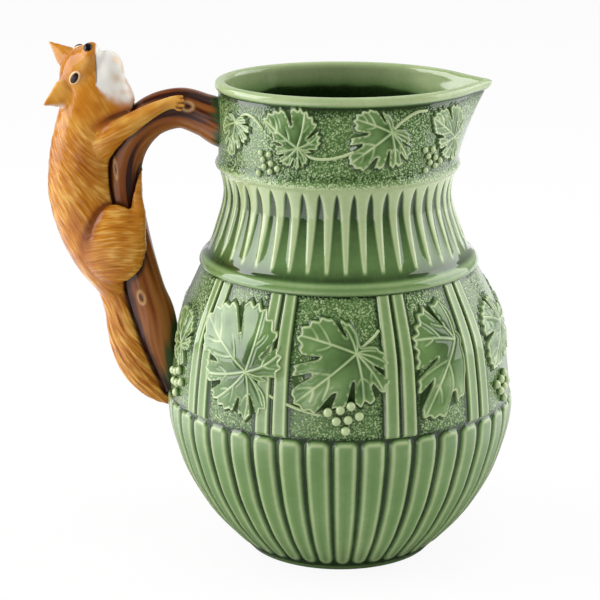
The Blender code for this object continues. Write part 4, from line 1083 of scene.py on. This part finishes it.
def on_face(place):
    """How far a place lies along the muzzle and towards the chin, from the middle of the head."""
    offset = place - HEAD_CENTRE
    return offset.dot(MUZZLE_WAY), offset.dot(CHIN_WAY)


def throat_white(place):
    """White on the lower jaw and throat, with a crisp edge at the mouth and a soft one on the cheek."""
    forward, down = on_face(place)
    behind = max(MOUTH_CORNER - forward, 0)
    border = MOUTH_DOWN + CHEEK_SLOPE * behind
    border += CHEEK_UNEVEN * noise.noise(place * CHEEK_SCALE) * ease(behind / CHEEK_BLEND)
    soft = JAW_SOFT + CHEEK_SOFT * min(behind, CHEEK_SOFTEST)
    blush = BLUSH * ease((down - BLUSH_START) / BLUSH_BLEND)
    blush *= ease(0.5 + BLUSH_PATCHY * noise.noise(place * BLUSH_SCALE))
    throat = ease((place.z - THROAT_BOTTOM) / THROAT_BLEND) * fade(down, THROAT_BACK, THROAT_BACK_SOFT)
    return THROAT_WHITE * (1 - blush) * ease((down - border) / soft + 0.5) * throat


def joint_mark(mark, gap, height):
    """How strong a brown line or a band of painted shade is at a distance from its joint and at a height."""
    strength, width, soft, start, rise, below = mark
    return strength * fade(gap, width, soft) * (below + (1 - below) * ease((height - start) / rise))


def joint_gaps(gaps):
    """Distance from the joints round the haunches and from those under the forelegs."""
    thigh = min(gaps["near_thigh"], gaps["far_thigh"])
    foreleg = min(gaps["near_foreleg"], gaps["far_foreleg"])
    return max(gaps["torso"], thigh), max(min(gaps["torso"], gaps["chin"]), foreleg)


def line_brown(place, gaps):
    """Brown brushed in beside the branch, round the haunches, under the forelegs, in the mouth and between
    the toes."""
    haunch, crook = joint_gaps(gaps)
    beside_branch = fade(branch_tree.find_nearest(place)[3], BRANCH_WIDTH, BRANCH_SOFT)
    forward, down = on_face(place)
    mouth = MOUTH_BROWN * fade(abs(down - MOUTH_DOWN), MOUTH_WIDTH, MOUTH_SOFT)
    mouth *= ease((forward - MOUTH_CORNER) / MOUTH_END) * fade(forward, MOUTH_FRONT, MOUTH_FRONT_END)
    next_toe = sorted(gap for name, gap in gaps.items() if "toe" in name)[1]
    return max(beside_branch, joint_mark(HAUNCH_BROWN, haunch, place.z), mouth,
               joint_mark(CROOK_BROWN, crook, place.z), TOE_BROWN * fade(next_toe, TOE_WIDTH, TOE_SOFT))


def joint_shade_and_red(place, gaps):
    """Red-brown painted shade, soft along the same joints and behind the ears, with red brown brushed here
    and there on the fur.
    """
    haunch, crook = joint_gaps(gaps)
    ear = max(gaps["head"], min(gaps["near_ear"], gaps["far_ear"]))
    patch = noise.noise(place * BRUSHED_SCALE + Vector((BRUSHED_PLACE, 0, 0)))
    return max(joint_mark(HAUNCH_SHADE, haunch, place.z), joint_mark(CROOK_SHADE, crook, place.z),
               EAR_SHADE * fade(ear, EAR_SHADE_WIDTH, EAR_SHADE_SOFT),
               BRUSHED_RED * ease((patch - BRUSHED_START) / BRUSHED_BLEND))


def fox_mesh():
    """The skin, softened where the limbs meet, combed into fur and painted."""
    skin, trees = fox_skin()
    layers = skin.verts.layers.float
    thin, white, red, brown, along, across, comb = (
        layers.new(name) for name in ("thin", "white", "red", "brown", "along", "across", "comb"))
    smooth(skin, skin.verts, FOX_SMOOTHING)
    gaps_of = {vert: {name: tree.find_nearest(vert.co)[3] for name, tree in trees.items()}
               for vert in skin.verts}
    joints = [vert for vert, gaps in gaps_of.items() if sorted(gaps.values())[1] < BLEND_REACH
              and min(gap for name, gap in gaps.items() if "toe" in name) > BLEND_REACH]
    smooth(skin, joints, BLEND_SMOOTHING)
    skin.normal_update()
    moves = []
    for vert, gaps in gaps_of.items():
        limb = min(gaps, key=gaps.get)
        way = fur_way(limb, vert.co)
        vert[along], vert[across] = way[:2]
        tuft = fur_at(*way)
        depth = FUR_DEPTHS.get(limb, 1) * (1 - CALM_SHARE * ease((vert.co.z - CALM_START) / CALM_BLEND))
        mottle = noise.noise(vert.co * MOTTLE_SCALE)
        mottle += FINE_MOTTLE * noise.noise(vert.co * FINE_MOTTLE_SCALE)
        vert[thin] = (LIMB_THIN.get(limb, FUR_THIN) + (TUFT_PALER + DEEP_TUFT_PALER * depth) * tuft
                      + MOTTLE_PALER * mottle)
        vert[comb] = COMB_STRENGTH * min(depth, COMB_DEEPEST)
        # The red layer holds painted shade at the joints and behind the ears, and red brown brushed on the
        # fur
        vert[red] = joint_shade_and_red(vert.co, gaps)
        vert[brown] = line_brown(vert.co, gaps)
        if limb.endswith("ear"):
            vert[white] = EAR_WHITE * ease((EAR_TURN - vert.normal.z) / EAR_BLEND)
        elif "foreleg" not in limb and "toe" not in limb:
            vert[white] = throat_white(vert.co)
        moves.append((vert, vert.normal * (TUFT_HEIGHT * depth * tuft - LINE_DEPTH * vert[brown])))
    for vert, move in moves:
        vert.co += move
    smooth(skin, joints, LAST_SMOOTHING)
    keep_out_of_jug(skin.verts)
    return skin


FUR_PAINTS = (("red", FUR_RED_AND_SHADE), ("white", FUR_WHITE), ("brown", LINE_BROWN), ("black", PAINT_BLACK))
fox_glaze = glaze_material("fox_glaze", (FUR_DEEP, FUR_ORANGE, FUR_PALE), CLEAR_GLAZE_INDEX, roughness=0.2,
                           relief=0.1, paints=FUR_PAINTS, combed=combed_fur_group())
fox_bm = fox_mesh()


# Eyes and nose: small balls of clay pressed on to the head and painted under the fox's glaze, the eyes dark
# brown with a cream rim and the nose black. Places are forward, chin and across from the middle of the
# head. Half sizes are along the same ways for the nose, and for the eyes outward, across and along the slit.
FACE_TURN = Matrix((MUZZLE_WAY, CHIN_WAY, FACE_ACROSS)).transposed()
EYES = ((7.9, -2.3, 8.3), (9, -1.6, -7.6))
EYE_SLANT = math.radians(58)
NOSE = (18.6, 3.9, 0)
NOSE_HALVES = (1.9, 2.1, 2.6)
EYE_HALVES, RIM_HALVES = (1.2, 1.7, 3), (0.9, 2.4, 3.8)
EYE_STAND, EYE_BLACK, RIM_WHITE = 0.35, 0.6, 0.3
GROOVE_WIDTH, GROOVE_WIDER, GROOVE_SOFT = 0.8, 1.2, 2.4
GROOVE_WIDE_TOP, GROOVE_WIDE_BLEND = 130, 30


def add_face(bm):
    """The eyes in their rims, laid on the skin and slanted, and the nose."""
    layers = bm.verts.layers.float
    black = layers.new("black")
    thin, white, brown = (layers[name] for name in ("thin", "white", "brown"))
    tree = bvhtree.BVHTree.FromBMesh(bm)
    for eye in EYES:
        place, normal = tree.find_nearest(head_point(*eye))[:2]
        up = (FACE_ACROSS - normal * FACE_ACROSS.dot(normal)).normalized()
        up = Matrix.Rotation(-math.copysign(EYE_SLANT, eye[2]), 3, normal) @ up
        turned = Matrix((normal, up.cross(normal), up)).transposed()
        for vert in add_ball(bm, place, turned, RIM_HALVES):
            vert[thin], vert[white] = 1, RIM_WHITE
        for vert in add_ball(bm, place + normal * EYE_STAND, turned, EYE_HALVES):
            vert[brown], vert[black] = 1, EYE_BLACK
    for vert in add_ball(bm, head_point(*NOSE), FACE_TURN, NOSE_HALVES):
        vert[black] = 1


add_face(fox_bm)
# With the fox whole, the groove beside it on the branch is painted dark, wider low down by the tail
fox_tree = bvhtree.BVHTree.FromBMesh(fox_bm)
bark_dark = branch_bm.verts.layers.float["dark"]
for vert in branch_bm.verts:
    width = GROOVE_WIDTH + GROOVE_WIDER * fade(vert.co.z, GROOVE_WIDE_TOP, GROOVE_WIDE_BLEND)
    groove = fade(fox_tree.find_nearest(vert.co)[3], width, GROOVE_SOFT)
    vert[bark_dark] = max(vert[bark_dark], groove)
add_piece("glazed_handle_branch", branch_bm, bark_glaze, "bark_glaze", "handle_branch")
fox_nodes = [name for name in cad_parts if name.startswith("fox_")]
add_piece("glazed_fox", fox_bm, fox_glaze, "fox_glaze", *fox_nodes)


# Studio: a plain white floor under a white background, a large soft lamp on each side and one above, and
# the camera a little above the rim, in front of the jug's near side. Sizes are in metres, lamps in watts,
# and the floor's image in the glaze is brighter towards the side lamps and at the back.
FLOOR_SIZE = 6
CAMERA_PLACE = (0, -1.0583, 0.420)
CAMERA_TILT, CAMERA_TURN = math.radians(90 - 15.794), math.radians(1.039)
CAMERA_LENS = 137.87
SOFT_LAMPS = (("left_lamp", (-1.35, 0.02, 0.64), 1.3, 1.24, 20),
              ("right_lamp", (1.33, 0.3, 0.64), 1.4, 1.24, 12),
              ("top_lamp", (0.1, -0.3, 1.5), 0.8, 0.8, 6))
LAMP_AIM = Vector((0, 0, 0.12))
WHITE = (1, 1, 1, 1)
FLOOR_WHITE, FLOOR_MIRRORED = (0.9, 0.9, 0.9, 1), (0.22, 0.22, 0.22, 1)
FLOOR_GLOW, LEFT_GLOW, RIGHT_GLOW = 0.92, 0.7, 0.5
BACK_SPAN = (0.5, 1.4)
LEFT_SPANS, RIGHT_SPANS = ((-0.05, -0.25), (0.5, 0.25)), ((0.05, 0.25), (-0.4, 0.05))
ROOM_SPAN, ROOM_LIGHT, ROOM_LEAST = (-0.9, 0.6), 0.15, 0.42
SHEEN_SPAN, SHEEN_LIGHT, SHEEN_LEAST = (0.65, 0.95), 0.55, 0.07
SHEEN_SIDE_SPAN, SHEEN_SIDE = (-0.3, 0.3), 0.6


def floor_patch(tree, spot, spans):
    """A part of the floor with soft edges, given by where it begins and is full, along X and along Y."""
    sides = [spread(tree, spot[axis], *span) for axis, span in zip("XY", spans)]
    return math_node(tree, "MULTIPLY", *sides)


floor_bm = bmesh.new()
bmesh.ops.create_grid(floor_bm, x_segments=1, y_segments=1, size=FLOOR_SIZE / 2)
floor_mesh = bpy.data.meshes.new("floor")
floor_bm.to_mesh(floor_mesh)
floor_bm.free()
floor = bpy.data.objects.new("floor", floor_mesh)
bpy.context.collection.objects.link(floor)
white = bpy.data.materials.new("white_floor")
white.use_nodes = True
tree = white.node_tree
path = add_node(tree, "LightPath").outputs
spot = add_node(tree, "SeparateXYZ", {0: add_node(tree, "TexCoord").outputs["Object"]}).outputs
behind = spread(tree, spot["Y"], *BACK_SPAN)
by_left, by_right = floor_patch(tree, spot, LEFT_SPANS), floor_patch(tree, spot, RIGHT_SPANS)
bright = math_node(tree, "MAXIMUM", behind, math_node(tree, "MAXIMUM", by_left, by_right))
shade = mix_colours(tree, path["Is Glossy Ray"], FLOOR_WHITE, FLOOR_MIRRORED)
paper = add_node(tree, "BsdfDiffuse", {"Color": shade}).outputs[0]
lit = math_node(tree, "MULTIPLY_ADD", by_left, LEFT_GLOW, math_node(tree, "MULTIPLY", by_right, RIGHT_GLOW))
strength = math_node(tree, "MULTIPLY_ADD", path["Is Glossy Ray"], lit, 1)
glow = add_node(tree, "Emission", {"Color": WHITE, "Strength": strength}).outputs[0]
seen = math_node(tree, "MAXIMUM", path["Is Camera Ray"], path["Is Transmission Ray"])
seen = math_node(tree, "MAXIMUM", seen, math_node(tree, "MULTIPLY", path["Is Glossy Ray"], bright))
share = math_node(tree, "MULTIPLY", seen, FLOOR_GLOW)
mixed = add_node(tree, "MixShader", {0: share, 1: paper, 2: glow}).outputs[0]
tree.links.new(mixed, tree.nodes["Material Output"].inputs["Surface"])
floor_mesh.materials.append(white)

world = bpy.data.worlds.new("studio")
world.use_nodes = True
tree = world.node_tree
way = add_node(tree, "SeparateXYZ", {0: add_node(tree, "TexCoord").outputs["Generated"]}).outputs
path = add_node(tree, "LightPath").outputs
room = spread(tree, way["Y"], *ROOM_SPAN)
turned = math_node(tree, "MULTIPLY_ADD", spread(tree, way["X"], *SHEEN_SIDE_SPAN), SHEEN_SIDE, way["Y"])
sheen = math_node(tree, "MULTIPLY_ADD", spread(tree, turned, *SHEEN_SPAN), SHEEN_LIGHT, SHEEN_LEAST)
fill = math_node(tree, "MULTIPLY_ADD", room, ROOM_LIGHT, ROOM_LEAST)
level = add_node(tree, "Mix", {"Factor": path["Is Glossy Ray"], "A": fill, "B": sheen}).outputs["Result"]
strength = math_node(tree, "MAXIMUM", path["Is Camera Ray"], level)
background = tree.nodes["Background"]
background.inputs["Color"].default_value = WHITE
tree.links.new(strength, background.inputs["Strength"])
bpy.context.scene.world = world

for name, place, width, height, power in SOFT_LAMPS:
    lamp = bpy.data.lights.new(name, "AREA")
    lamp.shape = "RECTANGLE"
    lamp.size, lamp.size_y = width, height
    lamp.energy = power
    stand = bpy.data.objects.new(name, lamp)
    stand.location = place
    stand.rotation_euler = (LAMP_AIM - Vector(place)).to_track_quat("-Z", "Y").to_euler()
    stand.visible_camera = False
    stand.visible_glossy = name != "top_lamp"
    bpy.context.collection.objects.link(stand)

camera_data = bpy.data.cameras.new("camera")
camera_data.lens = CAMERA_LENS
camera = bpy.data.objects.new("camera", camera_data)
camera.location = CAMERA_PLACE
camera.rotation_euler = (CAMERA_TILT, 0, CAMERA_TURN)
bpy.context.collection.objects.link(camera)
bpy.context.scene.camera = camera
bpy.context.scene.view_settings.view_transform = "Standard"
